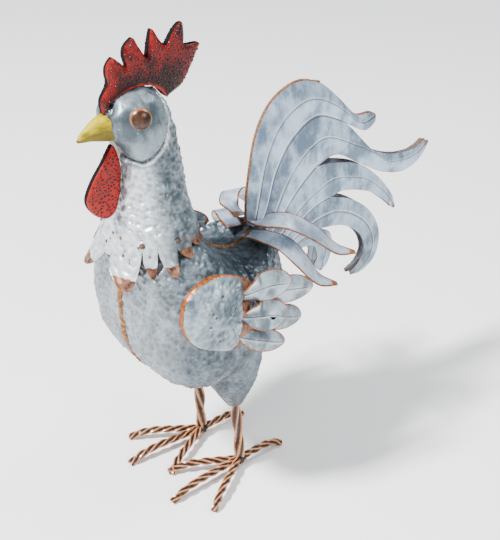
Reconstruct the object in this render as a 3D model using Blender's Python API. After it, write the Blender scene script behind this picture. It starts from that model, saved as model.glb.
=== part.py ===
"""A garden rooster of pressed and welded sheet steel, standing on feet of twisted square bar.

The bird looks along -Y and its left side is at +X. The figure is drawn 514 units tall, and every
point of it is given in those units, so that the pose follows STATUE_HEIGHT. Sheets, bars, gaps and
rivets keep sizes of their own, in metres.
"""
import bpy
import bmesh
from math import cos, exp, pi, radians, sin, sqrt
from mathutils import Matrix, Vector
from mathutils.bvhtree import BVHTree

# Driving sizes, in metres
STATUE_HEIGHT = 0.514
SHEET = 0.0012
LEG_BAR = 0.0085
TOE_BAR = 0.0060
FIT_GAP = 0.0003
EYE_RADIUS = 0.0104
RIVET_RADIUS = 0.0030
COMB_THICK = 0.0112
COMB_EDGE = 0.0028
WATTLE_THICK = 0.0110
WATTLE_EDGE = 0.0050
COLLAR_LIFT = 0.0022
WING_DOME = 0.0110
WING_RIM = 0.0050

# The figure in drawing units
DRAWN_HEIGHT = 514.0
UNIT = STATUE_HEIGHT / DRAWN_HEIGHT

BODY_SIDE = [(-129, 258), (-128, 290), (-116, 314), (-94, 326), (-68, 320), (-46, 298), (-24, 274), (2, 261),
             (22, 263), (37, 279), (50, 267), (60, 240), (61, 212), (49, 185), (26, 162), (0, 147),
             (-42, 139), (-78, 144), (-103, 159), (-121, 187), (-128, 222)]
BODY_CENTRE = (-36, 212)
BODY_HALF_WIDTH = 85
BODY_FULLNESS = 3.4
# How squarely the halves turn in to their seam at the breast and at the back, and where one becomes the other
BREAST_POWER = 4.0
BACK_POWER = 2.5
BACK_START = -100
BACK_REACH = 50
# Above this level the shoulders draw in, by this share of their width at the top of the reach
SHOULDER_LEVEL = 238
SHOULDER_REACH = 90
SHOULDER_TAPER = 0.32
# Behind this place on the y axis the rump draws in the same way
RUMP_START = -60
RUMP_REACH = 130
RUMP_TAPER = 0.50

THIGH_RINGS = [((43, -22, 175), 31), ((42, -22, 149), 30), ((38.5, -21, 124), 24.5), ((35.5, -17, 104), 16),
               ((33.5, -14, 88), 8.5)]

# Level, middle (y), half depth (y) and half width (x) of the head and neck
NECK_LEVELS = [(463.5, -101, 4, 3.5), (461, -102, 15, 13), (455, -103, 25, 22), (445, -103, 33, 28),
               (430, -100, 34, 31), (414, -93.5, 32, 31), (396, -89, 30, 31), (378, -88, 31.5, 34), (360, -89, 34, 38),
               (344, -89.5, 36.5, 44), (330, -89.5, 41, 52)]
COLLAR_LEVEL = 326
# Angle from the front and length of each feather of the collar, and the angles between them
COLLAR_TIPS = [(35, 46.5), (56, 33), (77, 33), (95, 19), (124, 16), (157, 17)]
COLLAR_FLARE = (0.42, 0.22)
COLLAR_SPLITS = [5, 46, 63, 83, 102, 140, 174]
COLLAR_FRONT_DROP = 15
RIVET_ANGLES = (47, 81)
RIVET_ABOVE_COLLAR = 2

COMB_SIDE = [(-137, 447.5), (-138, 460), (-130, 473), (-131, 483), (-130, 491), (-123.5, 497), (-117, 492),
             (-109, 485), (-111.5, 495), (-110, 504), (-101, 510.5), (-96, 502), (-87, 489), (-86, 502),
             (-84, 512.5), (-79.5, 514), (-73, 503), (-66, 496), (-59, 505), (-52, 512.5), (-46, 513), (-45.5, 501),
             (-45, 492), (-28.5, 490), (-29.5, 483), (-42, 463), (-49.5, 453), (-59, 450), (-65.5, 447)]
# The comb fans out from this place inside the head, and starts on this line just above the crown
COMB_CENTRE = (-92, 440)
COMB_ROOT = [(-136.4, 444), (-130, 456.6), (-117.8, 463), (-105, 465.4), (-97, 465.4), (-86.2, 463), (-76, 456.6),
             (-65.8, 444)]
# The comb is thinnest along this line through the tips of its spikes, and full this far inside it
COMB_TIPS = [(-138, 445), (-141, 461), (-134, 487), (-126, 499), (-102, 513), (-81, 517), (-49, 516), (-26, 491),
             (-40, 460), (-52, 450)]
COMB_FULL_REACH = 24

BEAK_TOP = [(-116, 448), (-133, 446), (-146, 442), (-156, 436), (-162, 431), (-164.5, 427)]
BEAK_LOW = [(-116, 416), (-124, 417), (-138, 420), (-149, 423), (-157, 424), (-163, 425)]
BEAK_HALF_WIDTH = [17, 14.5, 11, 7.5, 4, 1.2]

WATTLE_SIDE = [(-128, 414), (-123, 402), (-121, 384), (-124.5, 360), (-130, 346), (-140, 342), (-153, 350),
               (-160, 365), (-153, 382), (-140, 399), (-132, 411)]
WATTLE_CENTRE = (-138, 368)

EYE_PLACE = (30, -114, 445)
EYE_FACING = (0.88, -0.40, 0.12)

WING_CENTRE = (-68, 246)
WING_REACH = (37, 40)
WING_CREASE = 2.2
WING_LOBES = 4
WING_LOBE_DEPTH = 4.5
# Root, middle and tip of each wing feather, each as its distance off the body's side and its y and z, and the
# feather's half width
WING_FEATHERS = [("wing_feather_top", [(5.5, -44, 263), (10.5, -20, 266), (8.5, 14, 255)], 14.5),
                 ("wing_feather_middle", [(6.5, -40, 236), (11.5, -18, 233), (9.5, 8, 218)], 16),
                 ("wing_feather_low", [(5.0, -46, 211), (9.5, -22, 204), (7.5, 5, 192)], 11.5),
                 ("wing_feather_rear_top", [(3.4, -26, 250), (5.2, 8, 248), (3.2, 47, 236)], 14),
                 ("wing_feather_rear_low", [(3.4, -26, 225), (5.2, 3, 219.5), (3.2, 31, 209)], 12.5)]
WING_FEATHER_SHAPE = (0.6, 0.9, 1.0, 0.8, 0.14)

# Edges of the tail fan from root to split and from split to tip, front edge first
TAIL_FRONT = [(27, 280), (29, 318), (40, 375), (60, 407), (91, 420), (123, 412), (151, 388), (176, 363),
              (196, 360), (205, 356)]
TAIL_SPLITS = [[(40, 272), (51, 295), (62, 330), (84, 361), (117, 377), (153, 363)],
               [(56, 262), (74, 283), (93, 303), (117, 321)],
               [(72, 248), (95, 263), (118, 274), (139, 278)],
               [(80, 232), (100, 240), (126, 244)]]
TAIL_UPPER = [[],
              [(172, 346), (197, 318), (230, 301), (264, 296), (284, 304), (291, 300)],
              [(141, 318), (181, 304), (213, 278), (236, 250), (244, 230)],
              [(172, 264), (203, 238), (220, 206), (216, 176), (196, 163), (177, 164)],
              [(140, 234), (144, 215), (139, 197), (130, 189)]]
TAIL_LOWER = [[(178, 346), (192, 341), (204, 347), (205, 354)],
              [(146, 326), (181, 305), (218, 283), (252, 273), (278, 281), (291, 297)],
              [(160, 279), (196, 266), (222, 247), (241, 229)],
              [(159, 236), (186, 216), (196, 194), (189, 177), (175, 169)],
              [(100, 229), (116, 225), (122, 210), (118, 200), (126, 190)]]
TAIL_LAST_ROOT = (80, 224)
TAIL_ROWS = [(11, 4), (7, 7), (5, 9), (3, 10), (0, 9)]
TAIL_EDGE = 1.6
TAIL_REACH = 210
TAIL_SPREAD = 8.5
TAIL_CREASE = 2.4

SICKLE_UPPER = [(9, 28, 285), (28, 28, 295), (46, 48, 295), (57, 74, 277), (63, 99, 253), (66, 124, 241)]
SICKLE_LOWER = [(9, 20, 275), (30, 27, 278), (51, 39, 273), (68, 49, 257), (78, 62, 237), (82, 85, 224)]
SICKLE_HALF_WIDTHS = [6, 9.5, 11, 10.5, 8, 2.2]
SICKLE_CREASE = 2.4

FOOT_X = 35
FOOT_Y = -9
HUB_LEVEL = 10.5
LEG_FOOT_LEVEL = 4.0
LEG_TOP = (33.5, -14, 87)
TOE_TIP_LEVEL = 2.3
# Name, heading from straight ahead (outwards is positive) and length of each toe
TOES = [("middle", 3.5, 96), ("inner", -28, 79), ("outer", 33, 83), ("back", 180, 59)]
# Toes closer than this are mitred against each other at the hub
MITRE_WITHIN = 60
TWIST_STEP = radians(45)
BAR_ROWS = 10
TOE_TWIST_PITCH = 0.056
LEG_TWIST_PITCH = 0.150

COLOURS = {"galvanised": ((0.62, 0.68, 0.72), 0.42, 0.85), "red_enamel": ((0.30, 0.03, 0.03), 0.45, 0.0),
           "yellow_paint": ((0.62, 0.50, 0.06), 0.45, 0.0), "copper_dome": ((0.20, 0.11, 0.07), 0.4, 0.6),
           "twisted_bar": ((0.36, 0.17, 0.09), 0.45, 0.7), "rivet_steel": ((0.25, 0.16, 0.11), 0.5, 0.6)}


def clear_scene():
    """Remove the objects that Blender starts with."""
    for item in list(bpy.data.objects):
        bpy.data.objects.remove(item, do_unlink=True)


def make_collection(name):
    """Add a collection to the scene."""
    group = bpy.data.collections.new(name)
    bpy.context.scene.collection.children.link(group)
    return group


def make_material(name):
    """A plain Principled material in one of the statue's colours."""
    colour, roughness, metallic = COLOURS[name]
    material = bpy.data.materials.new(name)
    material.use_nodes = True
    shader = material.node_tree.nodes["Principled BSDF"]
    shader.inputs["Base Color"].default_value = (*colour, 1.0)
    shader.inputs["Roughness"].default_value = roughness
    shader.inputs["Metallic"].default_value = metallic
    material.diffuse_color = (*colour, 1.0)
    return material


def smooth(points, count, closed=False):
    """Points at equal steps along a smooth curve through the given ones."""
    knots = [Vector(point) for point in points]
    last = len(knots)
    if closed:
        knots = [knots[-1]] + knots + [knots[0], knots[1]]
    else:
        knots = [knots[0] * 2 - knots[1]] + knots + [knots[-1] * 2 - knots[-2]]
        last -= 1
    fine = []
    for index in range(last):
        before, start, end, after = knots[index:index + 4]
        for step in range(16):
            t = step / 16
            fine.append(0.5 * (start * 2 + (end - before) * t + (before * 2 - start * 5 + end * 4 - after) * t ** 2
                               + (start * 3 - before - end * 3 + after) * t ** 3))
    fine.append(knots[last + 1].copy())
    return even(fine, count, closed)


def even(fine, count, closed=False):
    """The given number of points at equal steps along a polyline."""
    run = [0.0]
    for start, end in zip(fine, fine[1:]):
        run.append(run[-1] + (end - start).length)
    result = []
    spot = 0
    steps = count if closed else count - 1
    for index in range(count):
        reach = run[-1] * index / steps
        while spot < len(run) - 2 and run[spot + 1] < reach:
            spot += 1
        span = run[spot + 1] - run[spot]
        share = 0.0 if span == 0 else (reach - run[spot]) / span
        result.append(fine[spot].lerp(fine[spot + 1], min(1.0, share)))
    return result


def along(values, share):
    """A value read from an even list of values at a share of its length."""
    place = share * (len(values) - 1)
    low = min(int(place), len(values) - 2)
    part = place - low
    return values[low] * (1 - part) + values[low + 1] * part


def rings_to_mesh(name, rings):
    """A closed mesh over rings of equal counts, with a face over each end ring."""
    form = bmesh.new()
    rows = [[form.verts.new(point) for point in ring] for ring in rings]
    count = len(rows[0])
    for low, high in zip(rows, rows[1:]):
        for index in range(count):
            after = (index + 1) % count
            form.faces.new((low[index], low[after], high[after], high[index]))
    form.faces.new(list(reversed(rows[0])))
    form.faces.new(rows[-1])
    return finish_mesh(name, form)


def finish_mesh(name, form):
    """Turn a bmesh into a mesh of triangles with merged points and faces that point out."""
    bmesh.ops.remove_doubles(form, verts=form.verts, dist=0.00002)
    bmesh.ops.triangulate(form, faces=form.faces)
    bmesh.ops.recalc_face_normals(form, faces=form.faces)
    mesh = bpy.data.meshes.new(name)
    form.to_mesh(mesh)
    form.free()
    return mesh


def cut_flat(mesh, point, outward):
    """Cut a closed mesh by a plane, drop what lies outward of it and close the cut."""
    form = bmesh.new()
    form.from_mesh(mesh)
    everything = list(form.verts) + list(form.edges) + list(form.faces)
    bmesh.ops.bisect_plane(form, geom=everything, plane_co=point, plane_no=outward, dist=0.000001, clear_outer=True)
    rim = [edge for edge in form.edges if edge.is_boundary]
    if rim:
        bmesh.ops.edgeloop_fill(form, edges=rim)
    bmesh.ops.triangulate(form, faces=form.faces)
    bmesh.ops.recalc_face_normals(form, faces=form.faces)
    form.to_mesh(mesh)
    form.free()
    return mesh


def mirrored(mesh, name):
    """A copy of a mesh on the other side of the midline."""
    form = bmesh.new()
    form.from_mesh(mesh)
    bmesh.ops.scale(form, verts=form.verts, vec=(-1, 1, 1))
    bmesh.ops.reverse_faces(form, faces=form.faces)
    other = bpy.data.meshes.new(name)
    form.to_mesh(other)
    form.free()
    return other


def add_object(name, mesh, material, group, root):
    """Place a mesh in the statue as a named piece."""
    item = bpy.data.objects.new(name, mesh)
    group.objects.link(item)
    item.parent = root
    mesh.materials.clear()
    mesh.materials.append(material)
    mesh.shade_smooth()
    mesh.set_sharp_from_angle(angle=radians(40))
    return item


def clearance_cutter(item, cutters, root):
    """A copy of a piece as it is before its own cuts, grown by the fitting gap on every side."""
    mesh = item.data.copy()
    form = bmesh.new()
    form.from_mesh(mesh)
    bmesh.ops.remove_doubles(form, verts=form.verts, dist=0.00001)
    form.normal_update()
    for corner in form.verts:
        corner.co += corner.normal * FIT_GAP * max(1.0, corner.calc_shell_factor())
    form.to_mesh(mesh)
    form.free()
    cutter = bpy.data.objects.new(item.name + "_clearance", mesh)
    cutters.objects.link(cutter)
    cutter.parent = root
    cutter.hide_render = True
    cutter.display_type = "WIRE"
    return cutter


def join_or_cut(item, other, operation):
    """Add a Boolean modifier, with the exact solver."""
    change = item.modifiers.new(operation.lower() + "_" + other.name, "BOOLEAN")
    change.operation = operation
    change.solver = "EXACT"
    change.object = other


def body_side_mesh(name):
    """The left pressed half of the body: a pillow over its side outline, flat at the midline."""
    columns = 32
    rows = [0.0, 0.38, 0.62, 0.78, 0.89, 0.96, 1.0]
    outline = smooth(BODY_SIDE, columns, closed=True)
    middle = Vector(BODY_CENTRE)
    rings = []
    for share in reversed(rows):
        ring = []
        for point in outline:
            behind = min(1.0, max(0.0, (point.x - BACK_START) / BACK_REACH))
            power = BREAST_POWER + (BACK_POWER - BREAST_POWER) * behind
            bulge = BODY_HALF_WIDTH * (1 - share ** BODY_FULLNESS) ** (1 / power)
            place = middle.lerp(point, max(share, 0.02))
            rise = max(0.0, (place.y - SHOULDER_LEVEL) / SHOULDER_REACH)
            back = max(0.0, (place.x - RUMP_START) / RUMP_REACH)
            out = bulge * (1 - SHOULDER_TAPER * rise ** 1.5) * (1 - RUMP_TAPER * back ** 1.5)
            ring.append(Vector((out * UNIT + FIT_GAP / 2, place.x * UNIT, place.y * UNIT)))
        rings.append(ring)
    return rings_to_mesh(name, rings)


def thigh_mesh(name):
    """The left thigh, a cone that leaves the belly and ends over the leg bar."""
    rings = []
    for (x, y, z), radius in THIGH_RINGS:
        ring = []
        for index in range(14):
            turn = 2 * pi * index / 14
            ring.append(Vector((x + radius * cos(turn), y + radius * sin(turn) * 1.05, z)) * UNIT)
        rings.append(ring)
    return rings_to_mesh(name, rings)


def neck_radius(level, turn):
    """The neck's middle and reach, at a level and at an angle from straight ahead."""
    levels = NECK_LEVELS
    spot = 0
    while spot < len(levels) - 2 and levels[spot + 1][0] > level:
        spot += 1
    upper, lower = levels[spot], levels[spot + 1]
    share = min(1.0, max(0.0, (upper[0] - level) / (upper[0] - lower[0])))
    middle, depth, width = [upper[k] + (lower[k] - upper[k]) * share for k in (1, 2, 3)]
    return middle, depth * width / sqrt((width * cos(turn)) ** 2 + (depth * sin(turn)) ** 2)


def collar_drop(degrees_off):
    """How far the collar reaches below its seam at an angle from straight ahead."""
    base = 2 + COLLAR_FRONT_DROP * max(0.0, cos(radians(degrees_off))) ** 6
    for (tip, length), low, high in zip(COLLAR_TIPS, COLLAR_SPLITS, COLLAR_SPLITS[1:]):
        if low <= degrees_off <= high:
            share = (tip - degrees_off) / (tip - low) if degrees_off < tip else (degrees_off - tip) / (high - tip)
            return base + (length - base) * (1 - share ** 2.5) ** 0.6
    return base


def collar_angles():
    """Angles of the neck's columns on one side, five to a feather of the collar."""
    angles = [0.0]
    for (tip, _), low, high in zip(COLLAR_TIPS, COLLAR_SPLITS, COLLAR_SPLITS[1:]):
        angles += [low + 0.01, (low * 3 + tip) / 4, tip, (high * 3 + tip) / 4]
    return angles + [COLLAR_SPLITS[-1], 180.0]


def neck_mesh(name, body_tree):
    """Head, neck and collar in one closed form, its feathered edge lying just off the body."""
    half = collar_angles()
    turns = half + [360 - angle for angle in reversed(half[1:-1])]
    rings = [[] for _ in range(len(NECK_LEVELS) + 4)]
    for angle in turns:
        turn = radians(angle)
        ahead = Vector((sin(turn), -cos(turn), 0))
        for ring, (level, *_) in zip(rings, NECK_LEVELS):
            middle, reach = neck_radius(level, turn)
            ring.append(Vector((ahead.x * reach, middle + ahead.y * reach, level)) * UNIT)
        drop = collar_drop(min(angle, 360 - angle))
        middle, seam = neck_radius(COLLAR_LEVEL, turn)
        for step in range(1, 4):
            level = COLLAR_LEVEL - drop * (step / 3) ** 1.15
            flare = COLLAR_FLARE[1] + (COLLAR_FLARE[0] - COLLAR_FLARE[1]) * max(0.0, cos(turn))
            reach = (seam + flare * (COLLAR_LEVEL - level)) * UNIT
            axis = Vector((0, middle, level)) * UNIT
            hit = body_tree.ray_cast(axis + ahead * STATUE_HEIGHT, -ahead)[0]
            if hit is not None:
                reach = max(reach, (hit - axis).dot(ahead) + COLLAR_LIFT)
            rings[len(NECK_LEVELS) + step - 1].append(axis + ahead * reach)
        edge = rings[len(NECK_LEVELS) + 2][-1]
        rings[-1].append(Vector((0, middle, COLLAR_LEVEL)) * UNIT * 0.97 + edge * 0.03)
    return rings_to_mesh(name, rings)


def off_path(point, path):
    """Distance of a point from a polyline."""
    nearest = (point - Vector(path[0])).length
    for start, end in zip(path, path[1:]):
        start, run = Vector(start), Vector(end) - Vector(start)
        share = min(1.0, max(0.0, (point - start).dot(run) / run.dot(run)))
        nearest = min(nearest, (point - start - run * share).length)
    return nearest


def where_met(start, way, path):
    """Where a ray drawn in a plane first meets a polyline."""
    for low, high in zip(path, path[1:]):
        low = Vector(low) - start
        run = Vector(high) - start - low
        side = way.x * run.y - way.y * run.x
        if side != 0:
            share = (low.x * way.y - low.y * way.x) / side
            reach = (low.x * run.y - low.y * run.x) / side
            if 0 <= share <= 1 and reach > 0:
                return start + way * reach
    return start


def comb_mesh(name):
    """The comb, full at its root in the skull and thin at the tips of its spikes."""
    centre = Vector(COMB_CENTRE)
    shares = [0.0, 0.6, 1.0]
    rings = []
    for tip in COMB_SIDE:
        root = where_met(centre, Vector(tip) - centre, COMB_ROOT)
        loop = []
        for side in (1, -1):
            for share in (shares if side == 1 else reversed(shares)):
                place = root.lerp(Vector(tip), share)
                inside = 1 - min(1.0, off_path(place, COMB_TIPS) / COMB_FULL_REACH)
                thick = (COMB_EDGE + (COMB_THICK - COMB_EDGE) * sqrt(1 - inside ** 2)) / 2
                loop.append(Vector((side * thick, place.x * UNIT, place.y * UNIT)))
        rings.append(loop)
    return rings_to_mesh(name, rings)


def beak_mesh(name):
    """The beak: a hooked wedge, widest along its mouth line."""
    rings = []
    for top, low, width in zip(BEAK_TOP, BEAK_LOW, BEAK_HALF_WIDTH):
        ring = []
        for index in range(12):
            turn = 2 * pi * index / 12
            up = cos(turn)
            rise = 0.64 + 0.36 * up if up > 0 else 0.64 + 0.64 * up
            bulge = abs(sin(turn)) ** 0.8 * (1 if sin(turn) >= 0 else -1)
            spot = Vector(low).lerp(Vector(top), rise)
            ring.append(Vector((width * bulge, spot.x, spot.y)) * UNIT)
        rings.append(ring)
    return rings_to_mesh(name, rings)


def pillow_mesh(name, outline, centre, thickness, edge):
    """A flat-edged pillow on the midline, over an outline seen from the side."""
    rings = []
    shares = [(0.06, 1.0), (0.66, 0.85), (1.0, 0.0)]
    for side in (1, -1):
        for share, fullness in (shares if side == 1 else reversed(shares)):
            thick = (edge + (thickness - edge) * fullness) / 2
            ring = []
            for point in outline:
                place = Vector(centre).lerp(point, share) * UNIT
                ring.append(Vector((side * thick, place.x, place.y)))
            rings.append(ring)
    return rings_to_mesh(name, rings)


def dome_mesh(name, place, facing, radius, height, sides):
    """A low round dome with its middle at a place, bulging the way that it faces."""
    form = bmesh.new()
    bmesh.ops.create_uvsphere(form, u_segments=sides, v_segments=sides // 2, radius=radius)
    bmesh.ops.scale(form, verts=form.verts, vec=(1, 1, height / radius))
    turn = Vector(facing).to_track_quat("Z", "Y").to_matrix().to_4x4()
    bmesh.ops.transform(form, matrix=Matrix.Translation(place) @ turn, verts=form.verts)
    return finish_mesh(name, form)


def wing_cap_mesh(name, body_tree):
    """The left wing's shoulder cap: a dome on the body's side with a lobed rear edge."""
    columns = 26
    rings = []
    for share, height in ((1.0, -0.6), (1.0, 0.0), (0.93, 0.45), (0.62, 0.85), (0.05, 1.0)):
        ring = []
        for index in range(columns):
            turn = 2 * pi * index / columns
            lobe = 0.0
            if abs(turn - pi) > 2 * pi / 3:
                lobe = WING_LOBE_DEPTH * (abs(sin(turn * WING_LOBES * 0.75 + pi * 0.25)) - 0.5)
            y = WING_CENTRE[0] + (WING_REACH[0] + lobe) * cos(turn) * share
            z = WING_CENTRE[1] + (WING_REACH[1] + lobe) * sin(turn) * share
            skin = side_of_body(body_tree, y, z)
            lift = (WING_RIM + (WING_DOME - WING_RIM) * height) if height >= 0 else -WING_DOME
            ring.append(Vector((skin + lift, y * UNIT, z * UNIT)))
        rings.append(ring)
    return rings_to_mesh(name, rings)


def side_of_body(body_tree, y, z):
    """How far the body's left side stands off the midline at a place seen from the side."""
    start = Vector((STATUE_HEIGHT, y * UNIT, z * UNIT))
    hit = body_tree.ray_cast(start, Vector((-1, 0, 0)))[0]
    return hit.x if hit is not None else 0.0


def feather_mesh(name, spine, half_widths, facing, rows, crease):
    """A feather cut from sheet, creased along its middle and drawn in to its tip."""
    points = smooth(spine, rows)
    rings = []
    for index, point in enumerate(points):
        before = points[max(index - 1, 0)]
        after = points[min(index + 1, rows - 1)]
        ahead = (after - before).normalized()
        across = Vector(facing).cross(ahead).normalized()
        up = ahead.cross(across).normalized()
        width = along(half_widths, index / (rows - 1))
        ridge = crease * min(1.0, width / half_widths[1])
        top = [across * -width, up * ridge, across * width]
        ring = [(point + step) * UNIT for step in top]
        ring += [(point + step) * UNIT - up * SHEET for step in reversed(top)]
        rings.append(ring)
    return rings_to_mesh(name, rings)


def tail_mesh(name):
    """The left sheet of the tail fan: five feathers that part from each other on the way to their tips."""
    form = bmesh.new()
    edges = []
    for index in range(5):
        shared, free = TAIL_ROWS[index]
        if index < 4:
            trunk = smooth(TAIL_SPLITS[index], shared + 1)
            lower = smooth([TAIL_SPLITS[index][-1]] + TAIL_LOWER[index], free + 1)
            edges.append((trunk, trunk[:-1] + lower))
        else:
            edges.append(([], smooth([TAIL_LAST_ROOT] + TAIL_LOWER[index], free + 1)))
    for index in range(5):
        right = edges[index][1]
        if index == 0:
            left = smooth(TAIL_FRONT, len(right))
        else:
            trunk = edges[index - 1][0]
            free = len(right) - len(trunk)
            left = trunk[:-1] + smooth([TAIL_SPLITS[index - 1][-1]] + TAIL_UPPER[index], free + 1)
        add_tail_strip(form, index, left, right)
    bmesh.ops.remove_doubles(form, verts=form.verts, dist=0.00002)
    bmesh.ops.recalc_face_normals(form, faces=form.faces)
    outer = max(form.faces, key=lambda face: face.calc_area())
    if outer.normal.x < 0:
        bmesh.ops.reverse_faces(form, faces=form.faces)
    form.normal_update()
    bmesh.ops.solidify(form, geom=list(form.faces), thickness=SHEET)
    return finish_mesh(name, form)


def add_tail_strip(form, index, left, right):
    """One feather of the tail fan, between two edges with a raised crease midway."""
    lines = []
    for front, rear in zip(left, right):
        width = (rear - front).length
        ridge = TAIL_CREASE * min(1.0, width / 14)
        line = []
        for across in (0.0, 0.5, 1.0):
            place = front.lerp(rear, across)
            away = place - Vector(TAIL_FRONT[0])
            closing = 1 - 0.8 * min(1.0, away.length / TAIL_REACH) ** 2
            spread = TAIL_EDGE + TAIL_SPREAD * (1 - exp(-1.6 * (index + across))) * closing
            lift = ridge if across == 0.5 else 0.0
            line.append(form.verts.new(Vector((spread + lift, place.x, place.y)) * UNIT))
        lines.append(line)
    for low, high in zip(lines, lines[1:]):
        for k in (0, 1):
            form.faces.new((low[k], low[k + 1], high[k + 1], high[k]))


def twisted_bar_mesh(name, path, bar, pitch):
    """A square bar twisted about its own length, following a path given in metres."""
    length = sum((end - start).length for start, end in zip(path, path[1:]))
    rows = max(BAR_ROWS, round(length / pitch * 2 * pi / TWIST_STEP))
    step = 2 * pi * length / pitch / rows
    points = even(path, rows + 1)
    rings = []
    for index, point in enumerate(points):
        ahead = (points[min(index + 1, rows)] - points[max(index - 1, 0)]).normalized()
        across = ahead.orthogonal().normalized() if index == 0 else (across - ahead * across.dot(ahead)).normalized()
        up = ahead.cross(across)
        ring = []
        for corner in range(4):
            turn = index * step + corner * pi / 2
            ring.append(point + (across * cos(turn) + up * sin(turn)) * bar / sqrt(2))
        rings.append(ring)
    return rings_to_mesh(name, rings)


def toe_path(heading, length):
    """Middle line of a left toe: level from the hub, then bent down to the ground."""
    turn = radians(heading)
    ahead = Vector((sin(turn), -cos(turn), 0))
    hub = Vector((FOOT_X, FOOT_Y, HUB_LEVEL)) + ahead * (LEG_BAR / sqrt(2) + 2 * FIT_GAP) / UNIT
    length -= (LEG_BAR / sqrt(2) + 2 * FIT_GAP) / UNIT
    shares = [(0.0, 0.0), (0.3, 0.06), (0.6, 0.10), (0.82, -0.22), (0.94, -0.70), (1.0, -1.0)]
    fall = HUB_LEVEL - TOE_TIP_LEVEL
    points = [hub + ahead * length * share + Vector((0, 0, fall * level)) for share, level in shares]
    return [point * UNIT for point in smooth(points, 24)]


def mitre_toe(mesh, heading, other):
    """Cut a toe along the upright plane midway between it and its neighbour."""
    side = 1 if other > heading else -1
    turn = radians((heading + other) / 2)
    outward = Vector((cos(turn), sin(turn), 0)) * side
    hub = Vector((FOOT_X, FOOT_Y, 0)) * UNIT
    return cut_flat(mesh, hub - outward * FIT_GAP / 2, outward)


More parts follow.
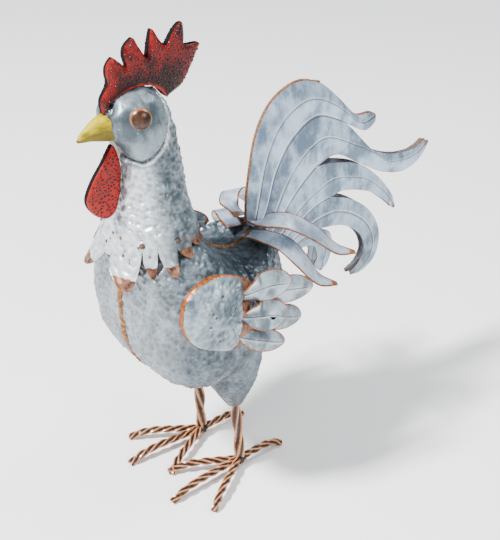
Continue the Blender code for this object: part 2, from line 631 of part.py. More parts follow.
def build():
    """Make every piece of the statue, seat it on what carries it and stand the bird on the origin."""
    clear_scene()
    group = make_collection("rooster_statue")
    cutters = make_collection("clearance_cutters")
    paint = {name: make_material(name) for name in COLOURS}
    root = bpy.data.objects.new("statue_origin", None)
    group.objects.link(root)

    def piece(name, mesh, material, carriers=()):
        item = add_object(name, mesh, paint[material], group, root)
        for carrier in carriers:
            join_or_cut(item, carrier, "DIFFERENCE")
        return item

    def pair(name, mesh, material, left_cutters=(), right_cutters=()):
        left = piece(name + "_left", mesh, material, left_cutters)
        right = piece(name + "_right", mirrored(mesh, name + "_right"), material, right_cutters)
        return left, right

    def clearances(items):
        return [clearance_cutter(item, cutters, root) for item in items]

    bodies = pair("body", body_side_mesh("body_left"), "galvanised")
    thigh = thigh_mesh("thigh_left")
    thighs = []
    for item, mesh in zip(bodies, (thigh, mirrored(thigh, "thigh_right"))):
        form = bpy.data.objects.new(item.name.replace("body", "thigh_form"), mesh)
        cutters.objects.link(form)
        form.parent = root
        form.hide_render = True
        form.display_type = "WIRE"
        join_or_cut(item, form, "UNION")
        thighs.append(form)
    body_clear = clearances(bodies)
    thigh_clear = clearances(thighs)

    shape = bmesh.new()
    shape.from_mesh(body_clear[0].data)
    shape.from_mesh(body_clear[1].data)
    body_tree = BVHTree.FromBMesh(shape)
    shape.free()

    whole_neck = neck_mesh("neck_left", body_tree)
    half_neck = cut_flat(whole_neck, (FIT_GAP / 2, 0, 0), (-1, 0, 0))
    necks = pair("head_and_neck", half_neck, "galvanised", [body_clear[0]], [body_clear[1]])
    neck_clear = clearances(necks)

    comb = piece("comb", comb_mesh("comb"), "red_enamel")
    comb_clear = clearances([comb])
    piece("beak", beak_mesh("beak"), "yellow_paint", neck_clear + comb_clear)
    wattle_line = smooth(WATTLE_SIDE, 16, closed=True)
    wattle = pillow_mesh("wattle", wattle_line, WATTLE_CENTRE, WATTLE_THICK, WATTLE_EDGE)
    piece("wattle", wattle, "red_enamel")

    facing = Vector(EYE_FACING).normalized()
    eye = dome_mesh("eye_left", Vector(EYE_PLACE) * UNIT - facing * EYE_RADIUS * 0.25, facing, EYE_RADIUS,
                    EYE_RADIUS * 0.62, 10)
    pair("eye", eye, "copper_dome", [neck_clear[0]], [neck_clear[1]])

    shape = bmesh.new()
    shape.from_mesh(neck_clear[0].data)
    neck_tree = BVHTree.FromBMesh(shape)
    shape.free()
    for index, angle in enumerate(RIVET_ANGLES):
        turn = radians(angle)
        middle, reach = neck_radius(COLLAR_LEVEL, turn)
        ahead = Vector((sin(turn), -cos(turn), 0))
        axis = Vector((0, middle, COLLAR_LEVEL + RIVET_ABOVE_COLLAR)) * UNIT
        hit = neck_tree.ray_cast(axis + ahead * STATUE_HEIGHT, -ahead)[0] or axis + ahead * reach * UNIT
        rivet = dome_mesh("collar_rivet", hit, ahead, RIVET_RADIUS, RIVET_RADIUS * 0.6, 6)
        pair("collar_rivet_" + ("front", "rear")[index], rivet, "rivet_steel", [neck_clear[0]], [neck_clear[1]])

    caps = pair("wing_cap", wing_cap_mesh("wing_cap_left", body_tree), "galvanised", [body_clear[0]], [body_clear[1]])
    left_cut = clearances([caps[0]])
    right_cut = clearances([caps[1]])
    for name, spine, width in WING_FEATHERS:
        points = [(BODY_HALF_WIDTH + off, y, z) for off, y, z in spine]
        widths = [width * share for share in WING_FEATHER_SHAPE]
        pair(name, feather_mesh(name, points, widths, (1, 0, 0.1), 7, WING_CREASE), "galvanised", left_cut, right_cut)

    tails = pair("tail_fan", tail_mesh("tail_fan_left"), "galvanised", body_clear, body_clear)
    left_cut = [body_clear[0]] + clearances([tails[0]])
    right_cut = [body_clear[1]] + clearances([tails[1]])
    for name, spine in (("sickle_upper", SICKLE_UPPER), ("sickle_lower", SICKLE_LOWER)):
        mesh = feather_mesh(name, spine, SICKLE_HALF_WIDTHS, (0.45, 0.1, 0.9), 13, SICKLE_CREASE)
        sides = pair(name, mesh, "galvanised", left_cut, right_cut)
        left_cut += clearances([sides[0]])
        right_cut += clearances([sides[1]])

    foot = [Vector((FOOT_X, FOOT_Y, LEG_FOOT_LEVEL)) * UNIT, Vector((FOOT_X, FOOT_Y - 1, 40)) * UNIT,
            Vector(LEG_TOP) * UNIT - Vector((0, 0, FIT_GAP))]
    leg = twisted_bar_mesh("leg_left", smooth(foot, 24), LEG_BAR, LEG_TWIST_PITCH)
    legs = pair("leg", leg, "twisted_bar", [thigh_clear[0]], [thigh_clear[1]])
    left_cut = clearances([legs[0]])
    right_cut = clearances([legs[1]])
    for name, heading, length in TOES:
        mesh = twisted_bar_mesh("toe_" + name, toe_path(heading, length), TOE_BAR, TOE_TWIST_PITCH)
        mesh = cut_flat(mesh, (0, 0, 0), (0, 0, -1))
        mesh = cut_flat(mesh, (FIT_GAP / 2, 0, 0), (-1, 0, 0))
        for _, other, _ in TOES:
            if 0 < abs(other - heading) < MITRE_WITHIN:
                mesh = mitre_toe(mesh, heading, other)
        pair("toe_" + name, mesh, "twisted_bar", left_cut, right_cut)
    stand_on_origin(group, root)


def stand_on_origin(group, root):
    """Move the whole statue so that the middle of its underside is the origin."""
    bpy.context.view_layer.update()
    depsgraph = bpy.context.evaluated_depsgraph_get()
    corners = []
    for item in group.objects:
        if item.type == "MESH":
            seen = item.evaluated_get(depsgraph)
            corners += [item.matrix_world @ vert.co for vert in seen.data.vertices]
    low = [min(corner[axis] for corner in corners) for axis in range(3)]
    high = [max(corner[axis] for corner in corners) for axis in range(3)]
    root.location = (-(low[0] + high[0]) / 2, -(low[1] + high[1]) / 2, -low[2])
    bpy.context.view_layer.update()


build()
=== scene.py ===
from itertools import product
from math import atan2, cos, exp, pi, radians, sin, sqrt

import bmesh
import bpy
import numpy as np
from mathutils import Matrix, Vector
from mathutils.bvhtree import BVHTree


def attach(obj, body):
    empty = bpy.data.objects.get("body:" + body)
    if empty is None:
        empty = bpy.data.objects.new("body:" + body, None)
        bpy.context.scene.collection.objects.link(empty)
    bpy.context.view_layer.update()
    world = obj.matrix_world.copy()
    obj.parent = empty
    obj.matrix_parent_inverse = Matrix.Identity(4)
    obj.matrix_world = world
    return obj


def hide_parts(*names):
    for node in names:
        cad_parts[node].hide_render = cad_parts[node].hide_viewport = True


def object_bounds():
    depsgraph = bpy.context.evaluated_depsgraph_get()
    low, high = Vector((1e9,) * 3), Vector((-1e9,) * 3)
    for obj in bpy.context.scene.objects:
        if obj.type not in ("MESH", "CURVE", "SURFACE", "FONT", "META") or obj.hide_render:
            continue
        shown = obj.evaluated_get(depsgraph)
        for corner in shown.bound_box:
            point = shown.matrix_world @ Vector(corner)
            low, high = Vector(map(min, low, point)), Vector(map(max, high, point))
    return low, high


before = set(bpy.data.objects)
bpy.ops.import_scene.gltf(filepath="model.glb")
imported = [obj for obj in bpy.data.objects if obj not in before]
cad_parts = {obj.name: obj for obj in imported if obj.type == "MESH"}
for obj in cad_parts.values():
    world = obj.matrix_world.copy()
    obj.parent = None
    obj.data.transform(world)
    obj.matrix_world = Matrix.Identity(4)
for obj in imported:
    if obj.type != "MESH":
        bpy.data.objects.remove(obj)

# A garden rooster of pressed and welded sheet steel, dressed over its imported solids. The figure is drawn
# in millimetres from the feet, as the solids are, and set back so that its box stands on the origin.
# Thicknesses of sheet, comb, wattle, cap and bars, hammer marks, beads, studs and low rises are in metres.
CAD_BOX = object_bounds()
UNIT = 0.001
SET_BACK = -0.063258
SHEET = 0.0011
# How dark the painted shade is in the hollows of the hammered skin
PAINTED_PIT_SHADE = 0.42
# What scatters the hammer marks, how far off the rays start that look for a surface, and the way in from
# the left
SCATTER = np.array((127.1, 311.7, 74.7))
FAR_OFF = 0.4
INWARD = Vector((-1, 0, 0))
# Where a mix node keeps its two colours and its result
MIX_FIRST, MIX_SECOND, MIX_RESULT = 6, 7, 2

# Body
BODY_SIDE = [(-129, 258), (-128, 290), (-116, 314), (-94, 326), (-68, 320), (-46, 298), (-24, 274),
             (2, 261), (22, 263), (37, 279), (50, 267), (60, 240), (61, 212), (49, 185), (26, 162), (0, 147),
             (-42, 139), (-78, 144), (-103, 159), (-121, 187), (-128, 222)]
BODY_CENTRE = (-36, 212)
BODY_HALF_WIDTH = 85
BODY_FULLNESS = 3.4
# How squarely the halves meet at the breast and at the back, and where one becomes the other
BREAST_POWER = 4.0
BACK_POWER = 2.5
BACK_START = -100
BACK_REACH = 50
SHOULDER_LEVEL = 238
SHOULDER_REACH = 90
SHOULDER_TAPER = 0.32
RUMP_START = -60
RUMP_REACH = 130
RUMP_TAPER = 0.50
THIGH_RINGS = [(43, -22, 175, 30), (42, -22, 149, 29), (38.5, -21, 124, 23.8), (35.5, -17, 104, 15.5),
               (33.5, -14, 88, 8.3)]
THIGH_PLACE = (40, -21)
BODY_VOXEL = 0.0014
SEAM_RISE = 0.0004
SKIN_ROUNDS = 9
FILLET_ROUNDS = 190
# Size and depth of each kind of hammer mark, and its seed
BODY_HAMMER = (0.0064, 0.0027, 3.0)
NECK_HAMMER = (0.0060, 0.0025, 11.0)
WING_HAMMER = (0.0062, 0.0019, 21.0)
WING_HAMMER_STRETCH = (1.0, 0.5, 1.25)
WING_HAMMER_SLANT = radians(48)

# Head, neck and collar
NECK_LEVELS = [(463.2, -101, 4, 3.5), (461, -102, 15, 13), (455, -103, 25, 22), (445, -103, 33, 28),
               (430, -100, 34, 31), (414, -93.5, 32, 31), (396, -89, 30, 31), (378, -88, 31.5, 34),
               (360, -89, 34, 38), (344, -89.5, 36.5, 44), (330, -89.5, 41, 52)]
NECK_ROWS = 140
NECK_AXIS = -88
COLLAR_LEVEL = 326
COLLAR_ROWS = 26
COLLAR_TIPS = [(35, 46.5), (58, 34), (78.5, 34), (97, 21), (124, 17), (157, 17)]
COLLAR_SPLITS = [5, 46, 63, 83, 102, 140, 174]
# Flare of the collar in front and behind, the curl of its tongues' tips, and the gap under them
COLLAR_FLARE = (0.42, 0.22)
COLLAR_CURL = (0.0016, 0.0020)
COLLAR_GAP = 0.0010
COLLAR_BASE_DROP = 8
COLLAR_FRONT_DROP = 15
RIVET_ANGLES = (45, 84)
RIVET_ABOVE_COLLAR = (-6, -3)
RIVET_PROFILE = [(3.0, -1.0), (3.0, 0.4), (2.7, 0.7), (2.0, 0.8), (1.7, 1.3), (1.2, 1.8), (0.1, 2.0)]
FACE_PLATE = [(-134, 446), (-135, 434), (-128, 416), (-122, 406), (-117, 400), (-110, 399), (-102, 404),
              (-94, 412), (-87, 423), (-83, 435), (-81.5, 447), (-84, 458), (-93, 466), (-110, 467),
              (-124, 460)]
# Height of the face plate, depth of the groove about it and height of the lip outside that
PLATE_RISE = 0.0016
GROOVE_DEPTH = 0.0015
LIP_RISE = 0.0010

# Comb, beak, wattle and eyes
COMB_SIDE = [(-137, 447.5), (-138, 460), (-130, 473), (-131, 483), (-130, 491), (-123.5, 497), (-117, 492),
             (-109, 485), (-111.5, 495), (-110, 504), (-101, 510.5), (-96, 502), (-87, 489), (-86, 502),
             (-84, 512.5), (-79.5, 514), (-73, 503), (-66, 496), (-59, 505), (-52, 512.5), (-46, 513),
             (-45.5, 501), (-45, 492), (-28.5, 490), (-29.5, 483), (-42, 463), (-49.5, 453), (-59, 450),
             (-65.5, 447)]
COMB_CENTRE = (-92, 440)
COMB_ROOT = [(-136.4, 444), (-130, 456.6), (-117.8, 463), (-105, 465.4), (-97, 465.4), (-86.2, 463),
             (-76, 456.6), (-65.8, 444)]
# The comb is thinnest along this line through the tips of its spikes, and full this far inside it
COMB_TIPS = [(-138, 445), (-141, 461), (-134, 487), (-126, 499), (-102, 513), (-81, 517), (-49, 516),
             (-26, 491), (-40, 460), (-52, 450)]
COMB_FULL_REACH = 24
COMB_THICK = 0.0112
COMB_EDGE = 0.0028
BEAK_TOP = [(-114, 448), (-133, 446), (-146, 442), (-156, 436), (-162, 431), (-164.5, 427)]
BEAK_LOW = [(-114, 416), (-124, 417), (-138, 420), (-149, 423), (-157, 424), (-163, 425)]
BEAK_HALF_WIDTH = [17, 14.5, 11, 7.5, 4, 1.2]
BEAK_CREASE = 0.62
WATTLE_SIDE = [(-128, 414), (-123, 402), (-121, 384), (-124.5, 360), (-130, 346), (-140, 342), (-153, 350),
               (-160, 365), (-153, 382), (-140, 399), (-132, 411)]
WATTLE_CENTRE = (-138, 368)
WATTLE_THICK = 0.0110
WATTLE_EDGE = 0.0042
EYE_PLACE = (30, -114, 445)
EYE_FACING = (0.88, -0.40, 0.12)
EYE_RADIUS = 10.4
EYE_FLATNESS = 0.62
EYE_SINK = 0.25
STUD_GAP = 0.0031
STUD_SIZE = 0.00125

# Wings
WING_CENTRE = (-68, 246)
WING_CAP_SIDE = [(-51.7, 283.4), (-41, 278.5), (-34.9, 274.2), (-33.2, 270.4), (-35, 266.1), (-39, 262.3),
                 (-46.5, 259.0), (-41.2, 255.2), (-37.7, 250.8), (-36.4, 246.4), (-37.8, 242.8),
                 (-41.4, 239.4), (-48.8, 237.0), (-45.0, 233.2), (-41.8, 229.3), (-40.5, 225.3),
                 (-42.3, 221.8), (-46.9, 219.1), (-54.5, 218.0), (-51.0, 214.2), (-51.8, 211.3),
                 (-56.2, 209.0), (-62.5, 208.4), (-72.7, 210.2), (-83.6, 213.6), (-93.2, 218.1),
                 (-100.4, 223.7), (-105.3, 231.2), (-108.2, 239.2), (-109.4, 247.6), (-108.4, 255.5),
                 (-106.1, 264.0), (-102.3, 270.9), (-96.9, 276.1), (-88.7, 281.3), (-79.4, 284.6),
                 (-70.7, 286), (-61.6, 285.8)]
# The wing's underside stands this far off the midline at its centre and leans this much along y and z
WING_STAND = 79
WING_LEAN = (0.17, -0.20)
WING_DOME = 0.0112
WING_RIM = 0.0042
# How softly the wing's underside parts from the body
WING_PARTING = 0.003
# Level and place along y from which the cap's rear lobes are brown
LOBE_LEVELS = [206, 212, 217, 237, 257, 280]
LOBE_PLACES = [-68, -62, -56, -50.5, -47, -42]
WING_SPOTS = [(-50, 272), (-68.5, 268.7), (-82.1, 255.9), (-80.5, 251.8), (-86.2, 242.9), (-76.9, 224.3)]
# Root, middle and tip of each feather, as distance off the body's widest place, y and z, and its half width
WING_FEATHERS = [("wing_feather_top", [(1.5, -49, 260.5), (9.5, -20, 267), (8.0, 13, 258)], 16.5),
                 ("wing_feather_middle", [(3.0, -51, 239), (11.3, -20, 234), (9.5, 8, 220)], 17),
                 ("wing_feather_low", [(3.0, -55, 219), (9.3, -24, 205), (7.5, 6, 190)], 12.5),
                 ("wing_feather_rear_top", [(1.4, -26, 254), (4.6, 8, 250), (3.2, 46, 239)], 15),
                 ("wing_feather_rear_low", [(1.4, -26, 225), (4.6, 3, 219.5), (3.2, 31, 209)], 14)]
FEATHER_CREASE = 3.6
FEATHER_COLUMNS = 17
FEATHER_ROWS = 56
FOLDED_FEATHERS = ("wing_feather_top", "wing_feather_middle")
FOLD_LIFT = 5.0

# Tail: edges of the fan from root to split and from split to tip, front edge first
TAIL_FRONT = [(27, 280), (29, 318), (40, 375), (60, 407), (91, 420), (123, 412), (151, 388), (176, 363),
              (196, 360), (205, 356)]
TAIL_SPLITS = [[(40, 272), (51, 295), (62, 330), (84, 361), (117, 377), (153, 363)],
               [(56, 262), (74, 283), (93, 303), (117, 321)],
               [(72, 248), (95, 263), (118, 274), (139, 278)],
               [(80, 232), (100, 240), (126, 244)]]
TAIL_UPPER = [[],
              [(172, 346), (197, 318), (230, 301), (264, 296), (284, 304), (291, 300)],
              [(141, 318), (181, 304), (213, 278), (236, 250), (244, 230)],
              [(172, 264), (203, 238), (220, 206), (216, 176), (196, 163), (177, 164)],
              [(140, 234), (144, 215), (139, 197), (130, 189)]]
TAIL_LOWER = [[(178, 346), (192, 341), (204, 347), (205, 354)],
              [(146, 326), (181, 305), (218, 283), (252, 273), (278, 281), (291, 297)],
              [(160, 279), (196, 266), (222, 247), (241, 229)],
              [(159, 236), (186, 216), (196, 194), (189, 177), (175, 169)],
              [(100, 229), (116, 225), (122, 210), (118, 200), (126, 190)]]
TAIL_LAST_ROOT = (80, 224)
TAIL_ROWS = [(11, 4), (7, 7), (5, 9), (3, 10), (0, 9)]
TAIL_FINENESS = 5
TAIL_EDGE = 1.6
TAIL_REACH = 210
TAIL_SPREAD = 8.5
TAIL_CREASE = 2.3
TAIL_STOPS = [0.0, 0.04, 0.1, 0.2, 0.3, 0.39, 0.45, 0.48, 0.5, 0.52, 0.55, 0.61, 0.7, 0.8, 0.9, 0.96, 1.0]
# How much darker each feather of the tail is than the front one, more so towards its tip: partly painted
# shade, partly duller zinc
TAIL_SHADE_AND_DULLING = (0.0, 0.05, 0.18, 0.34, 0.40)
SICKLES = [("sickle_upper", [(9, 28, 285), (28, 28, 295), (46, 48, 295), (57, 74, 277), (63, 99, 253),
                             (66, 124, 241)]),
           ("sickle_lower", [(9, 20, 275), (30, 27, 278), (51, 39, 273), (68, 49, 257), (78, 62, 237),
                             (82, 85, 224)])]
SICKLE_HALF_WIDTHS = [9, 11, 12.5, 12, 9, 2.2]
SICKLE_ROWS = 60
SICKLE_ROOT_RUST = 0.55

# Legs and toes
LEG_BAR = 0.0085
TOE_BAR = 0.0060
FOOT_X = 35
FOOT_Y = -9
HUB_LEVEL = 10.5
LEG_TOP = (33.5, -14, 90)
TOE_TIP_LEVEL = 2.3
TOES = [("middle", 3.5, 96), ("inner", -28, 79), ("outer", 33, 83), ("back", 180, 59)]
TOE_TWIST_PITCH = 0.056
LEG_TWIST_PITCH = 0.150

# Welds: where those of breast and back run, and the size, spacing and seed of each kind's beads
BREAST_WELD_START = -46
BREAST_WELD_TURN = 126
BREAST_WELD_SPLIT = 46
BACK_WELD_START = -46
BACK_WELD_RUN = 74
BREAST_UPPER_BEADS = (0.0040, 0.0021, 2)
BREAST_LOWER_BEADS = (0.0030, 0.0019, 3)
BACK_BEADS = (0.0027, 0.0019, 5)
TAIL_BEADS = (0.0016, 0.0013, 7)
SPOT_BEADS = (0.0012, 0.0005, 3)
HUB_BEADS = (0.0026, 0.0028)
HUB_REACH = 0.0050

# Place, size and power of each lamp, and the camera
LIGHTS = [("key", (-0.30, -1.75, 2.35), 0.40, 260), ("side", (2.4, 0.2, 1.7), 0.9, 38),
          ("back", (0.5, 1.5, 2.5), 1.0, 50)]
LIGHT_TARGET = (0, -0.03, 0.25)
CAMERA_PLACE = (0.8952, -0.7414, 0.8975)
CAMERA_TARGET = (0, -0.0293, 0.221)
CAMERA_LENS = 83.33


def smooth(points, count, closed=False):
    """Points at equal steps along a smooth curve through the given ones."""
    knots = [Vector(point) for point in points]
    last = len(knots)
    if closed:
        knots = [knots[-1]] + knots + [knots[0], knots[1]]
    else:
        knots = [knots[0] * 2 - knots[1]] + knots + [knots[-1] * 2 - knots[-2]]
        last -= 1
    fine = []
    for index in range(last):
        before, start, end, after = knots[index:index + 4]
        for step in range(24):
            t = step / 24
            fine.append(0.5 * (start * 2 + (end - before) * t
                               + (before * 2 - start * 5 + end * 4 - after) * t ** 2
                               + (start * 3 - before - end * 3 + after) * t ** 3))
    fine.append(knots[last + 1].copy())
    return even(fine, count, closed)


def even(fine, count, closed=False):
    """The given number of points at equal steps along a polyline."""
    run = [0.0]
    for start, end in zip(fine, fine[1:]):
        run.append(run[-1] + (end - start).length)
    result = []
    spot = 0
    steps = count if closed else count - 1
    for index in range(count):
        reach = run[-1] * index / steps
        while spot < len(run) - 2 and run[spot + 1] < reach:
            spot += 1
        span = run[spot + 1] - run[spot]
        share = 0.0 if span == 0 else (reach - run[spot]) / span
        result.append(fine[spot].lerp(fine[spot + 1], min(1.0, share)))
    return result


def along(values, share):
    """A value read from an even list of values at a share of its length."""
    place = share * (len(values) - 1)
    low = min(int(place), len(values) - 2)
    part = place - low
    return values[low] * (1 - part) + values[low + 1] * part


def ease(low, high, value):
    """Nought below low, one above high, and a smooth rise between; works on arrays too."""
    share = np.clip((value - low) / (high - low), 0.0, 1.0)
    return share * share * (3 - 2 * share)


def rounding(steps):
    """Shares from nought to one, closer together towards one."""
    return [sin(pi / 2 * k / steps) for k in range(steps + 1)]


def placed(point):
    """A drawn point, in millimetres from the feet, as a point of the scene in metres."""
    x, y, z = point
    return Vector((x * UNIT, y * UNIT + SET_BACK, z * UNIT))


def grid_mesh(name, rows, titles=(), closed=True):
    """A mesh over rows of points, each with a number for each title; a closed one is a filled tube."""
    spots = [spot for row in rows for spot in row]
    wide = len(rows[0])
    last = len(spots) - wide
    faces = []
    for start in range(0, last, wide):
        for column in range(wide if closed else wide - 1):
            after = (column + 1) % wide
            faces.append((start + column, start + after, start + wide + after, start + wide + column))
    if closed:
        faces.append(tuple(reversed(range(wide))))
        faces.append(tuple(range(last, last + wide)))
    mesh = bpy.data.meshes.new(name)
    mesh.from_pydata([tuple(spot[0] if titles else spot) for spot in spots], [], faces)
    for place, title in enumerate(titles, 1):
        write_mark(mesh, title, [spot[place] for spot in spots])
    return clean(mesh) if closed else mesh


def write_mark(mesh, title, values):
    """Keep one number for each point of a mesh under a name that its material reads."""
    mark = mesh.attributes.get(title) or mesh.attributes.new(title, "FLOAT", "POINT")
    mark.data.foreach_set("value", np.asarray(values, dtype=np.float32))


def read_mark(mesh, title):
    """The numbers kept under a name, one for each point."""
    values = np.zeros(len(mesh.vertices), dtype=np.float32)
    mesh.attributes[title].data.foreach_get("value", values)
    return values


def clean(mesh, closed=True):
    """Merge doubled points and turn the faces of a closed mesh outwards."""
    form = bmesh.new()
    form.from_mesh(mesh)
    bmesh.ops.remove_doubles(form, verts=form.verts, dist=0.00001)
    if closed:
        bmesh.ops.recalc_face_normals(form, faces=form.faces)
    form.to_mesh(mesh)
    form.free()
    return mesh


def points_of(mesh):
    """The points and point normals of a mesh as arrays."""
    points = np.zeros(len(mesh.vertices) * 3)
    mesh.vertices.foreach_get("co", points)
    normals = np.zeros(len(mesh.vertices) * 3)
    mesh.vertex_normals.foreach_get("vector", normals)
    return points.reshape(-1, 3), normals.reshape(-1, 3)


def move_points(mesh, points):
    """Set the points of a mesh, none of them outside the solids' own box."""
    low, high = np.array(CAD_BOX[0]), np.array(CAD_BOX[1])
    mesh.vertices.foreach_set("co", np.clip(points, low, high).ravel())
    mesh.update()


def hammered(points, size, seed, stretch=(1.0, 1.0, 1.0), turn=0.0):
    """How far each point lies from the middle of the hammer mark that it is in, as a share of a mark."""
    turned = points.copy()
    turned[:, 1] = points[:, 1] * cos(turn) + points[:, 2] * sin(turn)
    turned[:, 2] = points[:, 2] * cos(turn) - points[:, 1] * sin(turn)
    spots = turned * np.array(stretch) / size
    base = np.floor(spots)
    nearest = np.full(len(points), 9.0)
    for step in product((-1, 0, 1), repeat=3):
        cell = base + np.array(step)
        wave = np.sin((cell @ SCATTER)[:, None] + np.arange(3) * 19.19 + seed) * 43758.5453
        middle = cell + (wave - np.floor(wave))
        nearest = np.minimum(nearest, np.sqrt(((spots - middle) ** 2).sum(axis=1)))
    return nearest


def dent(mesh, hammer, strength, stretch=(1.0, 1.0, 1.0), turn=0.0):
    """Push a mesh in at each mark of a hammer, by a strength for each point, and paint shade into the
    hollows of the marks.
    """
    size, depth, seed = hammer
    points, normals = points_of(mesh)
    main = hammered(points, size, seed, stretch, turn)
    height = (main ** 1.6 - 0.55) * depth
    height += (hammered(points, size * 0.5, seed + 5, stretch, turn) - 0.5) * depth * 0.35
    height += (hammered(points, size * 3.1, seed + 9) - 0.5) * depth * 0.5
    move_points(mesh, points + normals * (height * strength)[:, None])
    # Painted shade in the hollows of the hammer marks
    write_mark(mesh, "painted_shade", (1 - ease(0.20, 0.62, main)) * PAINTED_PIT_SHADE * strength)


def baked(item):
    """The mesh that an object shows once its modifiers are applied; the object goes."""
    bpy.context.view_layer.update()
    seen = item.evaluated_get(bpy.context.evaluated_depsgraph_get())
    mesh = bpy.data.meshes.new_from_object(seen)
    bpy.data.objects.remove(item, do_unlink=True)
    return mesh


def held(name, mesh):
    """A mesh in an object of the scene."""
    item = bpy.data.objects.new(name, mesh)
    bpy.context.scene.collection.objects.link(item)
    return item


def changed(mesh, kind, **settings):
    """The mesh that one modifier makes of another."""
    item = held("change", mesh)
    change = item.modifiers.new("change", kind)
    for title, value in settings.items():
        setattr(change, title, value)
    return baked(item)


def flipped(mesh, name):
    """A copy of a mesh for the other side of the bird."""
    other = mesh.copy()
    other.name = name
    form = bmesh.new()
    form.from_mesh(other)
    bmesh.ops.scale(form, verts=form.verts, vec=(-1, 1, 1))
    bmesh.ops.reverse_faces(form, faces=form.faces)
    form.to_mesh(other)
    form.free()
    return other


def show(name, mesh, finish=None, nodes=()):
    """Place a finished mesh as a piece of the bird, which may stand for solids."""
    points, _ = points_of(mesh)
    move_points(mesh, points)
    if finish:
        mesh.materials.append(finish)
    mesh.shade_smooth()
    mesh.set_sharp_from_angle(angle=radians(50))
    item = held(name, mesh)
    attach(item, "root")
    if nodes:
        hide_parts(*nodes)


def skin(name, mesh, finish=None):
    """A piece that stands for the solid of its name."""
    show(name + "_skin", mesh, finish, [name])


def pair(name, mesh, finish=None):
    """A left piece and its mirror image on the right."""
    other = flipped(mesh, name + "_right")
    skin(name + "_left", mesh, finish)
    skin(name + "_right", other, finish)


def thickened(mesh, finish):
    """A sheet given its thickness and finish, its cut edge in rust."""
    mesh.materials.append(finish)
    mesh.materials.append(RUST_EDGE)
    return changed(mesh, "SOLIDIFY", thickness=SHEET, offset=-1, material_offset_rim=1)


def facing(mesh, way):
    """Turn a sheet so that most of it looks a given way."""
    total = Vector((0, 0, 0))
    for face in mesh.polygons:
        total += face.normal * face.area
    if total.dot(Vector(way)) < 0:
        mesh.flip_normals()
    return mesh


# Paint and metal
def add(tree, kind, values=None, **settings):
    """A node whose inputs are set to a value or linked to a socket, or to another node's first output."""
    item = tree.nodes.new(kind)
    for title, value in settings.items():
        setattr(item, title, value)
    for title, value in (values or {}).items():
        if isinstance(value, bpy.types.Node):
            value = value.outputs[0]
        if isinstance(value, bpy.types.NodeSocket):
            tree.links.new(value, item.inputs[title])
        else:
            item.inputs[title].default_value = value
    return item


def new_material(name):
    """An empty node material, its tree, and the coordinates of the piece that wears it."""
    material = bpy.data.materials.new(name)
    material.use_nodes = True
    tree = material.node_tree
    tree.nodes.clear()
    return material, tree, add(tree, "ShaderNodeTexCoord").outputs["Object"]


def noise(tree, place, scale, detail, rough, stretch=None):
    """A soft cloud from nought to one."""
    if stretch:
        place = add(tree, "ShaderNodeMapping", {"Vector": place, "Scale": stretch})
    return add(tree, "ShaderNodeTexNoise",
               {"Vector": place, "Scale": scale, "Detail": detail, "Roughness": rough})


def maths(tree, kind, *values):
    """One sum on sockets, nodes or plain numbers."""
    return add(tree, "ShaderNodeMath", dict(enumerate(values)), operation=kind)


def ramp(tree, value, low, high):
    """A soft step from nought at low to one at high."""
    return add(tree, "ShaderNodeMapRange", {"Value": value, "From Min": low, "From Max": high},
               interpolation_type="SMOOTHSTEP")


def blend(tree, share, first, second):
    """A mix of two colours, each a socket or three numbers."""
    first, second = [(*value, 1.0) if isinstance(value, tuple) else value for value in (first, second)]
    mix = add(tree, "ShaderNodeMix", {"Factor": share, MIX_FIRST: first, MIX_SECOND: second},
              data_type="RGBA")
    return mix.outputs[MIX_RESULT]


def layered(tree, colour, *layers):
    """A colour with others laid over it in turn, each by its share."""
    for share, over in layers:
        colour = blend(tree, share, colour, over)
    return colour


def mark(tree, title):
    """A number that the piece's mesh keeps under a name."""
    return add(tree, "ShaderNodeAttribute", attribute_name=title).outputs["Fac"]


def ragged(tree, grain, amount, title):
    """A mark with its border broken up by grain."""
    return maths(tree, "MULTIPLY_ADD", maths(tree, "SUBTRACT", grain, 0.5), amount, mark(tree, title))


def finished(material, colour, roughness, specular=0.5, metallic=0.0, bump=None):
    """The material with its shader; bump is a height, its strength and its depth."""
    tree = material.node_tree
    values = {"Base Color": colour, "Roughness": roughness, "Specular IOR Level": specular,
              "Metallic": metallic}
    if bump:
        values["Normal"] = add(tree, "ShaderNodeBump", dict(zip(("Height", "Strength", "Distance"), bump)))
    add(tree, "ShaderNodeOutputMaterial", {"Surface": add(tree, "ShaderNodeBsdfPrincipled", values)})
    return material


